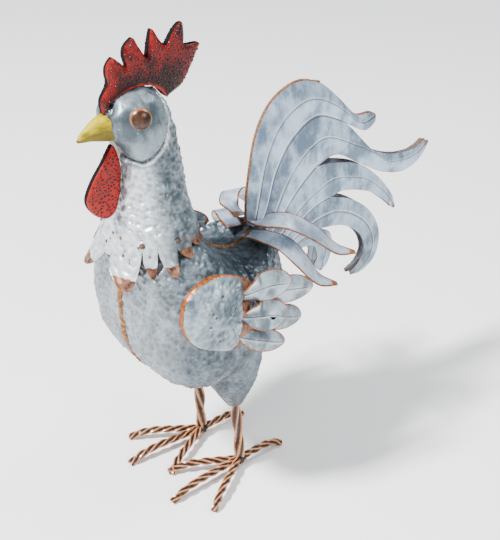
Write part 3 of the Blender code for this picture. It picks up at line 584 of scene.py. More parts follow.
def galvanised(name, dark, light, spangle, metallic, cloud_scale=30):
    """Weathered zinc: clouds and spangle, rust where marked, a painted highlight where marked, and painted
    shade in the hammer hollows, on the lower tail feathers and in the pressed lines.
    """
    material, tree, place = new_material(name)
    cloud = noise(tree, place, cloud_scale, 5, 0.6)
    streak = noise(tree, place, 60, 4, 0.65, (1.0, 1.0, 0.5))
    speck = noise(tree, place, 260, 3, 0.7)
    grain = noise(tree, place, 90, 4, 0.7)
    tone = maths(tree, "MULTIPLY_ADD", streak, 0.45, maths(tree, "MULTIPLY", cloud, 0.55))
    flake = ramp(tree, add(tree, "ShaderNodeTexVoronoi", {"Vector": place, "Scale": 230}), 0.20, 0.05)
    fleck = maths(tree, "MULTIPLY", flake, ramp(tree, streak, 0.46, 0.62))
    brown = blend(tree, ramp(tree, grain, 0.38, 0.60), (0.050, 0.018, 0.007), (0.25, 0.105, 0.055))
    rust = blend(tree, ramp(tree, speck, 0.3, 0.7), (0.10, 0.026, 0.005), (0.36, 0.115, 0.024))
    colour = layered(tree, blend(tree, ramp(tree, tone, 0.40, 0.60), dark, light),
                     (maths(tree, "MULTIPLY", fleck, spangle), (0.80, 0.86, 0.90)),
                     # Painted light: a painted highlight, then painted shade in hammer hollows and on the
                     # lower tail feathers, then painted shade in pressed lines and recesses
                     (mark(tree, "painted_highlight"), (0.86, 0.91, 0.95)),
                     (ramp(tree, ragged(tree, grain, 0.9, "patina"), 0.42, 0.60), brown),
                     (ramp(tree, ragged(tree, grain, 0.8, "rim"), 0.45, 0.72), rust),
                     (mark(tree, "painted_shade"), (0.018, 0.026, 0.032)),
                     (mark(tree, "painted_recess_shade"), (0.008, 0.011, 0.015)))
    rough = add(tree, "ShaderNodeMapRange", {"Value": grain, "To Min": 0.24, "To Max": 0.50})
    height = maths(tree, "MULTIPLY_ADD", grain, 0.7, maths(tree, "MULTIPLY", speck, 0.3))
    return finished(material, colour, rough, 0.55, metallic, (height, 0.45, 0.0010))


def red_enamel():
    """Dark red paint, worn brighter on the high places and almost black near the skull."""
    material, tree, place = new_material("red_enamel")
    cloud = noise(tree, place, 70, 4, 0.6)
    grain = noise(tree, place, 240, 3, 0.7)
    colour = blend(tree, ramp(tree, cloud, 0.36, 0.60), (0.045, 0.0014, 0.0016), (0.22, 0.005, 0.004))
    worn = maths(tree, "MULTIPLY", ramp(tree, grain, 0.5, 0.72), 0.45)
    colour = layered(tree, colour, (worn, (0.34, 0.016, 0.008)),
                     (mark(tree, "shade"), (0.008, 0.001, 0.0015)),
                     (mark(tree, "glow"), (0.46, 0.018, 0.012)))
    return finished(material, colour, 0.40, 0.22, bump=(grain, 0.4, 0.0008))


def yellow_paint():
    """Yellow beak paint, with painted shade below the crease, grimy at the root and the tip."""
    material, tree, place = new_material("yellow_paint")
    cloud = noise(tree, place, 90, 4, 0.6, (1.0, 0.5, 1.0))
    grain = noise(tree, place, 260, 3, 0.7)
    colour = blend(tree, ramp(tree, cloud, 0.35, 0.65), (0.16, 0.115, 0.0001), (0.42, 0.335, 0.0002))
    grime_and_shade = ramp(tree, ragged(tree, grain, 1.2, "grime_and_shade"), 0.35, 0.65)
    colour = layered(tree, colour, (mark(tree, "shade"), (0.060, 0.034, 0.001)),
                     (grime_and_shade, (0.045, 0.035, 0.015)))
    height = maths(tree, "MULTIPLY_ADD", cloud, 0.6, maths(tree, "MULTIPLY", grain, 0.4))
    return finished(material, colour, 0.38, 0.20, bump=(height, 0.3, 0.0008))


def copper_dome():
    """Brown copper of the eyes, lighter at the rim."""
    material, tree, place = new_material("copper_dome")
    cloud = noise(tree, place, 130, 4, 0.6)
    colour = blend(tree, ramp(tree, cloud, 0.35, 0.65), (0.016, 0.007, 0.004), (0.075, 0.031, 0.015))
    colour = blend(tree, mark(tree, "rim"), colour, (0.34, 0.16, 0.07))
    return finished(material, colour, 0.30, metallic=0.45, bump=(cloud, 0.2, 0.0006))


def twisted_copper():
    """Copper coloured bar, rubbed bright on its ridges and black in its grooves."""
    material, tree, place = new_material("twisted_copper")
    grain = noise(tree, place, 230, 4, 0.7)
    cloud = noise(tree, place, 70, 3, 0.6)
    ridge = ragged(tree, grain, 0.40, "ridge")
    copper = blend(tree, ramp(tree, cloud, 0.36, 0.64), (0.24, 0.070, 0.020), (0.52, 0.20, 0.075))
    copper = blend(tree, ramp(tree, ridge, 0.60, 0.95), copper, (0.70, 0.37, 0.18))
    colour = blend(tree, ramp(tree, ridge, 0.20, 0.40), (0.016, 0.009, 0.006), copper)
    return finished(material, colour, 0.32, metallic=0.35, bump=(grain, 0.3, 0.0006))


def mottled(name, cloud, border, dark, light, roughness, specular=0.5, strength=0.0):
    """Paint or rust in two tones: the scale, detail and roughness of its cloud, and where the tones part."""
    material, tree, place = new_material(name)
    grain = noise(tree, place, *cloud)
    colour = blend(tree, ramp(tree, grain, *border), dark, light)
    bump = (grain, strength, 0.0008) if strength else None
    return finished(material, colour, roughness, specular, bump=bump)


# Copies of the one zinc: the head's is lighter, partly painted sunlight on the neck, and the tail's and
# sickles' are lighter and bluer, partly painted sky reflection
BODY_ZINC = galvanised("galvanised_body", (0.030, 0.043, 0.054), (0.130, 0.170, 0.200), 0.55, 0.50)
HEAD_ZINC = galvanised("galvanised_head", (0.050, 0.070, 0.084), (0.21, 0.265, 0.295), 0.60, 0.50)
TAIL_ZINC = galvanised("galvanised_tail", (0.110, 0.165, 0.235), (0.44, 0.56, 0.69), 0.90, 0.45, 24)
SICKLE_ZINC = galvanised("galvanised_sickle", (0.220, 0.285, 0.370), (0.52, 0.62, 0.73), 0.85, 0.40, 26)
FEATHER_ZINC = galvanised("galvanised_feather", (0.075, 0.105, 0.128), (0.37, 0.455, 0.51), 0.80, 0.50)
WING_ZINC = galvanised("galvanised_wing", (0.090, 0.125, 0.150), (0.31, 0.385, 0.435), 0.70, 0.45)
RED = red_enamel()
YELLOW = yellow_paint()
COPPER = copper_dome()
BAR = twisted_copper()
BEADS = mottled("bead_enamel", (180, 3, 0.6), (0.4, 0.62), (0.006, 0.002, 0.0025), (0.040, 0.005, 0.005),
                0.27)
BLACK = mottled("black_edge", (150, 3, 0.6), (0.55, 0.75), (0.004, 0.004, 0.0045), (0.040, 0.006, 0.006),
                0.80, 0.08)
WELD, RUST_EDGE, SPOT = [
    mottled(name, (300, 4, 0.7), (0.36, 0.66), dark, light, 0.62, strength=0.5)
    for name, dark, light in (("weld_brown", (0.080, 0.027, 0.005), (0.30, 0.12, 0.022)),
                              ("rust_edge", (0.10, 0.030, 0.006), (0.34, 0.12, 0.030)),
                              ("weld_spot", (0.012, 0.008, 0.006), (0.10, 0.042, 0.015)))]


# Geometry Nodes for what repeats or follows a path
def node_tree(name, **inputs):
    """A Geometry Nodes tree and the outputs that give its named inputs."""
    tree = bpy.data.node_groups.new(name, "GeometryNodeTree")
    for title, kind in {"Geometry": "Geometry", **inputs}.items():
        tree.interface.new_socket(title, in_out="INPUT", socket_type="NodeSocket" + kind)
    tree.interface.new_socket("Geometry", in_out="OUTPUT", socket_type="NodeSocketGeometry")
    return tree, add(tree, "NodeGroupInput").outputs


def painted(tree, inlet, geometry):
    """Geometry made real, in the finish that the tree is given."""
    real = add(tree, "GeometryNodeRealizeInstances", {"Geometry": geometry})
    return add(tree, "GeometryNodeSetMaterial", {"Geometry": real, "Material": inlet["Finish"]})


def balls(tree, inlet, dots, least, most, segments, rings):
    """Small balls on points, no two of one size."""
    ball = add(tree, "GeometryNodeMeshUVSphere", {"Segments": segments, "Rings": rings, "Radius": 1.0})
    varied = add(tree, "FunctionNodeRandomValue", {"Min": least, "Max": most, "Seed": inlet["Seed"]},
                 data_type="FLOAT_VECTOR")
    size = add(tree, "ShaderNodeVectorMath", {0: varied, "Scale": inlet["Size"]}, operation="SCALE")
    laid = add(tree, "GeometryNodeInstanceOnPoints",
               {"Points": dots, "Instance": ball, "Rotation": dots.outputs["Rotation"], "Scale": size})
    return painted(tree, inlet, laid)


def bar_tree():
    """A square bar twisted about the path that it follows."""
    tree, inlet = node_tree("twisted_bar", Radius="Float", Waist="Float", Turn="Float", Rows="Int",
                            Finish="Material")
    curve = add(tree, "GeometryNodeMeshToCurve", {"Mesh": inlet["Geometry"]})
    fine = add(tree, "GeometryNodeResampleCurve", {"Curve": curve, "Count": inlet["Rows"]})
    reach = add(tree, "GeometryNodeSplineParameter").outputs["Length"]
    tilted = add(tree, "GeometryNodeSetCurveTilt",
                 {"Curve": fine, "Tilt": maths(tree, "MULTIPLY", reach, inlet["Turn"])})
    star = add(tree, "GeometryNodeCurveStar",
               {"Points": 4, "Inner Radius": inlet["Waist"], "Outer Radius": inlet["Radius"]})
    soft = add(tree, "GeometryNodeSubdivideCurve", {"Curve": star, "Cuts": 1})
    size = add(tree, "ShaderNodeVectorMath", {0: add(tree, "GeometryNodeInputPosition")}, operation="LENGTH")
    high = add(tree, "ShaderNodeMapRange", {"Value": size.outputs["Value"], "From Min": inlet["Waist"],
                                            "From Max": inlet["Radius"]})
    marked = add(tree, "GeometryNodeStoreNamedAttribute", {"Geometry": soft, "Name": "ridge", "Value": high},
                 data_type="FLOAT", domain="POINT")
    bar = add(tree, "GeometryNodeCurveToMesh", {"Curve": tilted, "Profile Curve": marked, "Fill Caps": True})
    add(tree, "NodeGroupOutput", {"Geometry": painted(tree, inlet, bar)})
    return tree


def bead_tree():
    """Overlapping weld beads along a path."""
    tree, inlet = node_tree("weld_beads", Step="Float", Size="Float", Seed="Int", Finish="Material")
    curve = add(tree, "GeometryNodeMeshToCurve", {"Mesh": inlet["Geometry"]})
    dots = add(tree, "GeometryNodeCurveToPoints", {"Curve": curve, "Length": inlet["Step"]}, mode="LENGTH")
    beads = balls(tree, inlet, dots, (0.75, 0.75, 0.75), (1.2, 1.2, 1.2), 9, 6)
    add(tree, "NodeGroupOutput", {"Geometry": beads})
    return tree


def stud_tree():
    """Small domes scattered over the marked faces of a plate."""
    tree, inlet = node_tree("enamel_studs", Gap="Float", Size="Float", Seed="Int", Finish="Material")
    where = add(tree, "GeometryNodeInputNamedAttribute", {"Name": "studded"}, data_type="FLOAT")
    pick = add(tree, "FunctionNodeCompare", {"A": where, "B": 0.5}, data_type="FLOAT",
               operation="GREATER_THAN")
    dots = add(tree, "GeometryNodeDistributePointsOnFaces",
               {"Mesh": inlet["Geometry"], "Selection": pick, "Distance Min": inlet["Gap"],
                "Density Max": 200000.0, "Seed": inlet["Seed"]}, distribute_method="POISSON")
    studs = balls(tree, inlet, dots, (0.6, 0.6, 0.45), (1.15, 1.15, 0.85), 8, 5)
    both = add(tree, "GeometryNodeJoinGeometry", {"Geometry": studs})
    tree.links.new(inlet["Geometry"], both.inputs["Geometry"])
    add(tree, "NodeGroupOutput", {"Geometry": both})
    return tree


def grown(name, mesh, tree, values):
    """The mesh that a node tree makes of another, its inputs given by their names."""
    item = held(name + "_seed", mesh)
    change = item.modifiers.new("growth", "NODES")
    change.node_group = tree
    for socket in tree.interface.items_tree:
        if socket.in_out == "INPUT" and socket.name in values:
            change[socket.identifier] = values[socket.name]
    return baked(item)


def line_mesh(name, points):
    """A path as a mesh of edges only."""
    mesh = bpy.data.meshes.new(name)
    mesh.from_pydata([tuple(point) for point in points], [(k, k + 1) for k in range(len(points) - 1)], [])
    return mesh


def joined(name, meshes):
    """Several meshes as one, each keeping its own materials and marks."""
    items = [held(name + "_part", mesh) for mesh in meshes]
    with bpy.context.temp_override(active_object=items[0], object=items[0], selected_objects=items,
                                   selected_editable_objects=items):
        bpy.ops.object.join()
    mesh = items[0].data
    bpy.data.objects.remove(items[0], do_unlink=True)
    return mesh


# Body
def pillow_mesh():
    """Both pressed halves of the body as one pillow over its side outline."""
    outline = smooth(BODY_SIDE, 170, closed=True)
    middle = Vector(BODY_CENTRE)
    shares = rounding(24)
    rings = []
    for side in (1, -1):
        for share in (shares if side == 1 else reversed(shares[:-1])):
            ring = []
            for point in outline:
                behind = min(1.0, max(0.0, (point.x - BACK_START) / BACK_REACH))
                power = BREAST_POWER + (BACK_POWER - BREAST_POWER) * behind
                bulge = BODY_HALF_WIDTH * (1 - share ** BODY_FULLNESS) ** (1 / power)
                place = middle.lerp(point, max(share, 0.02))
                rise = max(0.0, (place.y - SHOULDER_LEVEL) / SHOULDER_REACH)
                back = max(0.0, (place.x - RUMP_START) / RUMP_REACH)
                out = bulge * (1 - SHOULDER_TAPER * rise ** 1.5) * (1 - RUMP_TAPER * back ** 1.5)
                ring.append(placed((side * out, place.x, place.y)))
            rings.append(ring)
    return grid_mesh("body_pillow", rings)


def softened(mesh, rounds, weights):
    """A mesh smoothed a number of rounds, each point by its own share."""
    item = held("softening", mesh)
    group = item.vertex_groups.new(name="share")
    for index in np.nonzero(weights > 0.01)[0]:
        group.add([int(index)], float(weights[index]), "REPLACE")
    soft = item.modifiers.new("soft", "SMOOTH")
    soft.factor = 0.5
    soft.iterations = rounds
    soft.vertex_group = "share"
    return baked(item)


def body_mesh():
    """Both pressed halves and the thighs as one skin, hammered all over, with a raised seam."""
    parts = [pillow_mesh()]
    for side in (1, -1):
        rings = []
        for x, y, z, radius in smooth(THIGH_RINGS, 40):
            rings.append([placed((side * x + radius * cos(2 * pi * k / 48),
                                  y + radius * sin(2 * pi * k / 48) * 1.05, z)) for k in range(48)])
        parts.append(grid_mesh("thigh", rings))
    mesh = changed(joined("body", parts), "REMESH", mode="VOXEL", voxel_size=BODY_VOXEL)
    mesh = changed(mesh, "SMOOTH", factor=0.5, iterations=SKIN_ROUNDS)
    points, _ = points_of(mesh)
    off = np.abs(points[:, 0]) / UNIT
    behind = (points[:, 1] - SET_BACK) / UNIT
    level = points[:, 2] / UNIT
    radial = np.hypot(off - THIGH_PLACE[0], behind - THIGH_PLACE[1])
    fillet = ease(106, 124, level) * (1 - ease(158, 182, level)) * (1 - ease(44, 66, radial))
    mesh = softened(mesh, FILLET_ROUNDS, fillet)
    calm = 0.25 + 0.75 * ease(98, 135, level)
    dent(mesh, BODY_HAMMER, calm * ease(1.0, 5.0, off))
    points, normals = points_of(mesh)
    seam = np.exp(-(off / 1.5) ** 2)
    move_points(mesh, points + normals * (seam * SEAM_RISE)[:, None])
    write_mark(mesh, "rim", seam * 0.85)
    # Painted highlight on the front of the breast
    write_mark(mesh, "painted_highlight", 0.16 * (1 - ease(-125, -95, behind)))
    return mesh


# Head, neck and collar
def collar_drop(off):
    """The collar's fall at an angle off straight ahead, the share across a tongue and its length."""
    base = COLLAR_BASE_DROP + COLLAR_FRONT_DROP * max(0.0, cos(radians(off))) ** 6
    for (tip, length), low, high in zip(COLLAR_TIPS, COLLAR_SPLITS, COLLAR_SPLITS[1:]):
        if low <= off <= high:
            share = (tip - off) / (tip - low) if off < tip else (off - tip) / (high - tip)
            return base + (length - base) * (1 - share ** 1.9) ** 0.72, share, length
    return base, 1.0, 60.0


def collar_angles():
    """Angles of the neck's columns on one side, closer together near the slits."""
    angles = {0.0, 180.0}
    for low, high in zip([0] + COLLAR_SPLITS, COLLAR_SPLITS + [180]):
        steps = max(3, int((high - low) / 1.3))
        for k in range(steps + 1):
            angles.add(round(low + (high - low) * (0.5 - 0.5 * cos(pi * k / steps)), 4))
    return sorted(angles)


def path_distance(points, path):
    """Distance of points (y, z) from a polyline."""
    nearest = np.full(len(points), 1e9)
    for start, end in zip(path, path[1:]):
        a, run = np.array(start), np.array(end) - np.array(start)
        share = np.clip(((points - a) @ run) / (run @ run), 0, 1)
        nearest = np.minimum(nearest, np.linalg.norm(points - a - share[:, None] * run, axis=1))
    return nearest


def outline_distance(points, outline):
    """Distance of points (y, z) from a closed outline, negative inside it."""
    loop = outline + outline[:1]
    inside = np.zeros(len(points), dtype=bool)
    for (y, z), (next_y, next_z) in zip(loop, loop[1:]):
        crosses = (z > points[:, 1]) != (next_z > points[:, 1])
        slope = (next_y - y) / (next_z - z) if next_z != z else 0.0
        inside ^= crosses & (points[:, 0] < y + (points[:, 1] - z) * slope)
    nearest = path_distance(points, loop)
    return np.where(inside, -nearest, nearest)


def neck_mesh(body_tree):
    """Head, neck and collar as one skin, its tongues curling off the body."""
    levels = [tuple(row) for row in smooth(NECK_LEVELS, NECK_ROWS)]
    half = collar_angles()
    columns = []
    for angle in half + [360 - angle for angle in reversed(half[1:-1])]:
        turn = radians(angle)
        ahead = Vector((sin(turn), -cos(turn), 0))
        outer = []
        for level, middle, depth, width in levels:
            seam = depth * width / sqrt((width * cos(turn)) ** 2 + (depth * sin(turn)) ** 2)
            outer.append((placed((ahead.x * seam, middle + ahead.y * seam, level)), 0.0, 0.0, 1.0))
        drop, share, length = collar_drop(min(angle, 360 - angle))
        flare = COLLAR_FLARE[1] + (COLLAR_FLARE[0] - COLLAR_FLARE[1]) * max(0.0, cos(turn))
        inner = []
        for step in range(1, COLLAR_ROWS + 1):
            fall = drop * step / COLLAR_ROWS
            axis = placed((0, middle, COLLAR_LEVEL - fall))
            reach = (seam + flare * fall) * UNIT
            hit = body_tree.ray_cast(axis + ahead * FAR_OFF, -ahead)[0]
            if hit is not None:
                reach = max(reach, (hit - axis).dot(ahead) + COLLAR_GAP)
            cup = (1 - share ** 2) * COLLAR_CURL[0] + COLLAR_CURL[1] * (fall / 33) ** 2
            reach += cup * step / COLLAR_ROWS
            patina = 1 - ease(6.0, 15.0, length - fall)
            rim = 0.75 * (1 - ease(0.2, 1.4, drop - fall)) * ease(8, 14, drop)
            outer.append((axis + ahead * reach, patina, rim, 0.95 - 0.35 * step / COLLAR_ROWS))
            inner.append((axis + ahead * (reach - SHEET), 0.8, 0.6, 0.0))
        columns.append(outer + inner[::-1])
    mesh = grid_mesh("neck", list(zip(*columns)), ("patina", "rim", "hammer"))
    points, normals = points_of(mesh)
    side = np.stack([(points[:, 1] - SET_BACK) / UNIT, points[:, 2] / UNIT], axis=1)
    gap = outline_distance(side, FACE_PLATE)
    head = ease(390, 396, side[:, 1])
    plate = (1 - ease(-3.5, 0.2, gap)) * head
    groove = np.exp(-((gap - 0.6) / 1.25) ** 2) * head
    lip = np.exp(-((gap - 3.2) / 1.5) ** 2) * head
    dent(mesh, NECK_HAMMER, read_mark(mesh, "hammer") * (1 - 0.85 * (1 - ease(-2.0, 3.0, gap)) * head))
    points, _ = points_of(mesh)
    height = plate * PLATE_RISE - groove * GROOVE_DEPTH + lip * LIP_RISE
    move_points(mesh, points + normals * height[:, None])
    # Painted shade in the groove about the face plate and in the recess under the beak, where the wattle
    # meets it
    grime_and_shade = np.exp(-(((side[:, 0] + 125) / 6) ** 2 + ((side[:, 1] - 409) / 7) ** 2)) * 0.5
    write_mark(mesh, "painted_recess_shade", np.clip(groove * 0.85 + grime_and_shade, 0, 1))
    # Painted highlight on the lip outside the groove and down the front of the neck
    painted_highlight = lip * 0.9 + 0.60 * (1 - ease(-116, -92, side[:, 0])) * (1 - head)
    write_mark(mesh, "painted_highlight", np.clip(painted_highlight, 0, 1))
    return mesh


# Comb, beak, wattle and eyes
def where_met(start, way, path):
    """Where a ray drawn in a plane first meets a polyline."""
    for low, high in zip(path, path[1:]):
        low = Vector(low) - start
        run = Vector(high) - start - low
        side = way.x * run.y - way.y * run.x
        if side != 0:
            share = (low.x * way.y - low.y * way.x) / side
            reach = (low.x * run.y - low.y * run.x) / side
            if 0 <= share <= 1 and reach > 0:
                return start + way * reach
    return start


def fanned(outline, centre):
    """An outline whose points turn one way only about a centre, so that no two of its rays cross."""
    least = radians(0.06)
    turned = -10.0
    result = []
    for point in outline:
        run = point - centre
        turned = max(-atan2(run.y, run.x), turned + least)
        result.append(centre + Vector((cos(turned), -sin(turned))) * run.length)
    return result


def comb_mesh():
    """The comb: two bulged faces rolled in at their edges, with a black wall between them."""
    centre = Vector(COMB_CENTRE)
    outline = fanned(smooth(COMB_SIDE, 300), centre)
    shares = rounding(24)
    places = []
    for tip in outline:
        root = where_met(centre, tip - centre, COMB_ROOT)
        places += [tuple(root.lerp(tip, share)) for share in shares]
    flat = np.array(places)
    inside = 1 - np.minimum(1.0, path_distance(flat, COMB_TIPS) / COMB_FULL_REACH)
    thick = COMB_EDGE + (COMB_THICK - COMB_EDGE) * np.sqrt(1 - inside ** 2)
    off_edge = path_distance(flat, [tuple(point) for point in outline])
    half = thick * (1 - 0.42 * np.clip(1 - off_edge / 4.0, 0, 1) ** 2) / 2
    rows = []
    for start in range(0, len(flat), len(shares)):
        left = []
        right = []
        for index, share in enumerate(shares, start):
            y, z = flat[index]
            shade = min(0.93, 0.90 * (1 - ease(0.12, 0.72, share)) + 0.45 * ease(-85, -40, y))
            studded = 1.0 if share > 0.12 and off_edge[index] > 0.8 else 0.0
            glow = 1 - ease(0.02, 0.06, share)
            left.append((placed((half[index] / UNIT, y, z)), shade, studded, glow))
            right.append((placed((-half[index] / UNIT, y, z)), shade, studded, glow))
        rows.append(left + right[::-1])
    return studded_plate("comb", grid_mesh("comb", rows, ("shade", "studded", "glow")))


def studded_plate(name, mesh):
    """Give a plate its black walls and scatter its studs."""
    for finish in (RED, BLACK, BEADS):
        mesh.materials.append(finish)
    for face in mesh.polygons:
        face.material_index = 1 if abs(face.normal.x) < 0.30 else 0
    return grown(name, mesh, STUD_TREE, {"Gap": STUD_GAP, "Size": STUD_SIZE, "Seed": 4, "Finish": BEADS})


def wattle_mesh():
    """The wattle: a drop of sheet with a bulged face, studded as the comb is."""
    outline = smooth(WATTLE_SIDE, 96, closed=True)
    centre = Vector(WATTLE_CENTRE)
    shares = [0.03 + 0.97 * share for share in rounding(20)]
    rows = []
    for side in (1, -1):
        for share in shares[::side]:
            thick = (WATTLE_EDGE + (WATTLE_THICK - WATTLE_EDGE) * (1 - share ** 3.0) ** 0.5) / 2
            studded = 1.0 if share < 0.94 else 0.0
            rows.append([(placed((side * thick / UNIT, *centre.lerp(point, share))), studded, 0.45)
                         for point in outline])
    return studded_plate("wattle", grid_mesh("wattle", rows, ("studded", "glow")))


def beak_mesh():
    """The beak: a hooked wedge with a sharp crease along each side."""
    rows = []
    for index, (top, low) in enumerate(zip(smooth(BEAK_TOP, 40), smooth(BEAK_LOW, 40))):
        share = index / 39
        width = along(BEAK_HALF_WIDTH, share)
        grime_and_shade = (1 - ease(0.12, 0.42, share)) * 0.6 + ease(0.93, 1.0, share) * 0.7
        ring = []
        for k in range(40):
            turn = 2 * pi * k / 40
            up = cos(turn)
            rise = BEAK_CREASE + (1 - BEAK_CREASE) * up if up > 0 else BEAK_CREASE * (1 + up)
            out = width * abs(sin(turn)) ** (1.15 if up < 0 else 0.85)
            spot = low.lerp(top, rise)
            # Painted shade on the underside, below the crease
            shade = ease(0.02, -0.12, up) * 0.70
            ring.append((placed((out if sin(turn) >= 0 else -out, spot.x, spot.y)), shade, grime_and_shade))
        rows.append(ring)
    return grid_mesh("beak", rows, ("shade", "grime_and_shade"))


def rings_about(middle, way, profile, count):
    """Rings of points about an axis, one for each radius and height of a profile."""
    turn = way.to_track_quat("Z", "Y").to_matrix()
    angles = [2 * pi * k / count for k in range(count)]
    return [[middle + turn @ Vector((radius * cos(angle), radius * sin(angle), lift)) * UNIT
             for angle in angles] for radius, lift in profile]


def eye_mesh():
    """A copper dome pressed from sheet, seated in the face."""
    way = Vector(EYE_FACING).normalized()
    lifts = [pi * (step / 24 - 0.5) for step in range(25)]
    profile = [(EYE_RADIUS * max(cos(lift), 0.001), EYE_RADIUS * EYE_FLATNESS * sin(lift)) for lift in lifts]
    rings = rings_about(placed(EYE_PLACE) - way * EYE_RADIUS * EYE_SINK * UNIT, way, profile, 48)
    rows = [[(point, ease(0.80, 0.97, cos(lift))) for point in ring] for ring, lift in zip(rings, lifts)]
    return grid_mesh("eye", rows, ("rim",))


# Wings
def met(tree, rays, sink=0.0):
    """Where rays meet a surface, sunk a little into it; those that miss are left out."""
    spots = []
    for start, way in rays:
        hit, normal, _, _ = tree.ray_cast(start, way)
        if hit is not None:
            spots.append(hit - normal * sink)
    return spots


def wing_base(tree, y, z):
    """How far the wing's underside stands off the midline: on the body in front, straight on behind it."""
    hits = met(tree, [(placed((FAR_OFF / UNIT, y, z)), INWARD)])
    body = hits[0].x if hits else 0.0
    plane = (WING_STAND + WING_LEAN[0] * (y - WING_CENTRE[0]) + WING_LEAN[1] * (z - WING_CENTRE[1])) * UNIT
    return (body + plane + sqrt((body - plane) ** 2 + WING_PARTING ** 2)) / 2


def cap_mesh(body_tree):
    """The left wing's shoulder cap, hammered along one slant, with brown lobes at the rear."""
    outline = smooth(WING_CAP_SIDE, 260, closed=True)
    centre = Vector(WING_CENTRE)
    under = [(0.012, -1.0), (0.5, -1.0), (0.9, -1.0), (1.0, -1.0), (1.0, 0.0)]
    rows = []
    for share, height in under + [(cos(pi / 2 * k / 34), sin(pi / 2 * k / 34)) for k in range(1, 35)]:
        rim = ease(0.955, 0.992, share)
        calm = ease(0.82, 0.97, share)
        ring = []
        for point in outline:
            y, z = centre.lerp(point, max(share, 0.012))
            free = ease(-95, -52, y)
            low = WING_RIM * (0.35 + 0.65 * free)
            lift = low + (WING_DOME - low) * max(0.0, height) ** 0.8
            if height < 0:
                lift = -0.004 + (low - 0.0012 + 0.004) * free
            spot = Vector((wing_base(body_tree, y, z) + lift, y * UNIT + SET_BACK, z * UNIT))
            lobe = ease(-1.5, 1.0, y - np.interp(z, LOBE_LEVELS, LOBE_PLACES))
            ring.append((spot, rim, lobe, calm))
        rows.append(ring)
    mesh = grid_mesh("cap", rows, ("rim", "patina", "calm"))
    strength = (1 - 0.7 * read_mark(mesh, "patina")) * (1 - 0.85 * read_mark(mesh, "calm"))
    dent(mesh, WING_HAMMER, strength, WING_HAMMER_STRETCH, WING_HAMMER_SLANT)
    return mesh


def feather_shape(root):
    """Shares of a wing feather's half width from its root to its rounded tip."""
    shape = []
    for k in range(41):
        share = k / 40
        if share < 0.5:
            shape.append(root + (1 - root) * sin(pi / 2 * share / 0.5) ** 0.9)
        else:
            shape.append(max(0.03, (1 - ((share - 0.5) / 0.5) ** 2) ** 0.62))
    return shape


def feather_sheet(spine, half_widths, way, rows, crease=0.0, root_patina=0.0, fold=0.0):
    """A feather cut from sheet, which may have a middle crease and an edge folded up at its root."""
    points = smooth(spine, rows)
    creased = 1 if crease else 0
    tabbed = 1 if fold else 0
    grid = []
    for index, point in enumerate(points):
        ahead = (points[min(index + 1, rows - 1)] - points[max(index - 1, 0)]).normalized()
        side = Vector(way).cross(ahead).normalized()
        up = ahead.cross(side).normalized()
        share = index / (rows - 1)
        width = along(half_widths, share)
        ridge = crease * min(1.0, width / (0.8 * max(half_widths)))
        shallow = (1 - ease(0.75, 1.0, share)) * creased
        at_root = ease(0.05, 0.14, share) * (1 - ease(0.30, 0.36, share))
        end = (1 - ease(1.0, 4.5, (1 - share) * 40)) * 0.9
        patina = root_patina * (1 - ease(0.03, 0.11, share))
        row = []
        for k in range(FEATHER_COLUMNS):
            s = 2 * k / (FEATHER_COLUMNS - 1) - 1
            s = s * abs(s) ** 0.35
            off = s * width
            folded = ease(0.30, 0.85, s) * at_root
            lift = ridge * (1 - abs(s) ** 1.3) - 0.6 * exp(-(off / 0.7) ** 2) * creased
            lift += fold * folded
            rim = max(1 - ease(0.8, 3.0, width * (1 - abs(s))), end) * 0.95
            # Painted shade in the middle crease and at the fold of the root tab; painted highlight beside
            # the crease and on the folded tab
            pressed = exp(-(off / 0.62) ** 2) * 0.92 * shallow
            tab = exp(-((share - 0.37) / 0.014) ** 2) * ease(0.2, 0.5, s) * 0.9 * tabbed
            glint = exp(-((off + 1.1) / 0.6) ** 2) * 0.55 * shallow
            row.append((placed(point + side * s * width + up * lift), rim, max(pressed, tab),
                        max(glint, 0.6 * folded * tabbed), patina))
        grid.append(row)
    mesh = grid_mesh("feather", grid, ("rim", "painted_recess_shade", "painted_highlight", "patina"), closed=False)
    return facing(clean(mesh, closed=False), way)


# Tail
def tail_sheet():
    """The left sheet of the tail fan: five feathers that part from each other, each with a pressed line."""
    trunks = [[]]
    strips = []
    for index, counts in enumerate(TAIL_ROWS):
        shared, free = [count * TAIL_FINENESS for count in counts]
        trunk = []
        root = TAIL_LAST_ROOT
        if index < len(TAIL_SPLITS):
            trunk = smooth(TAIL_SPLITS[index], shared + 1)
            root = TAIL_SPLITS[index][-1]
        right = trunk[:-1] + smooth([root] + TAIL_LOWER[index], free + 1)
        above = trunks[-1]
        if above:
            free_rows = len(right) - len(above) + 1
            left = above[:-1] + smooth([TAIL_SPLITS[index - 1][-1]] + TAIL_UPPER[index], free_rows)
        else:
            left = smooth(TAIL_FRONT, len(right))
        strips.append(tail_strip(index, left, right, max(len(above) - 1, 0), max(len(trunk) - 1, 0)))
        trunks.append(trunk)
    return facing(clean(joined("tail", strips), closed=False), (1, 0, 0))


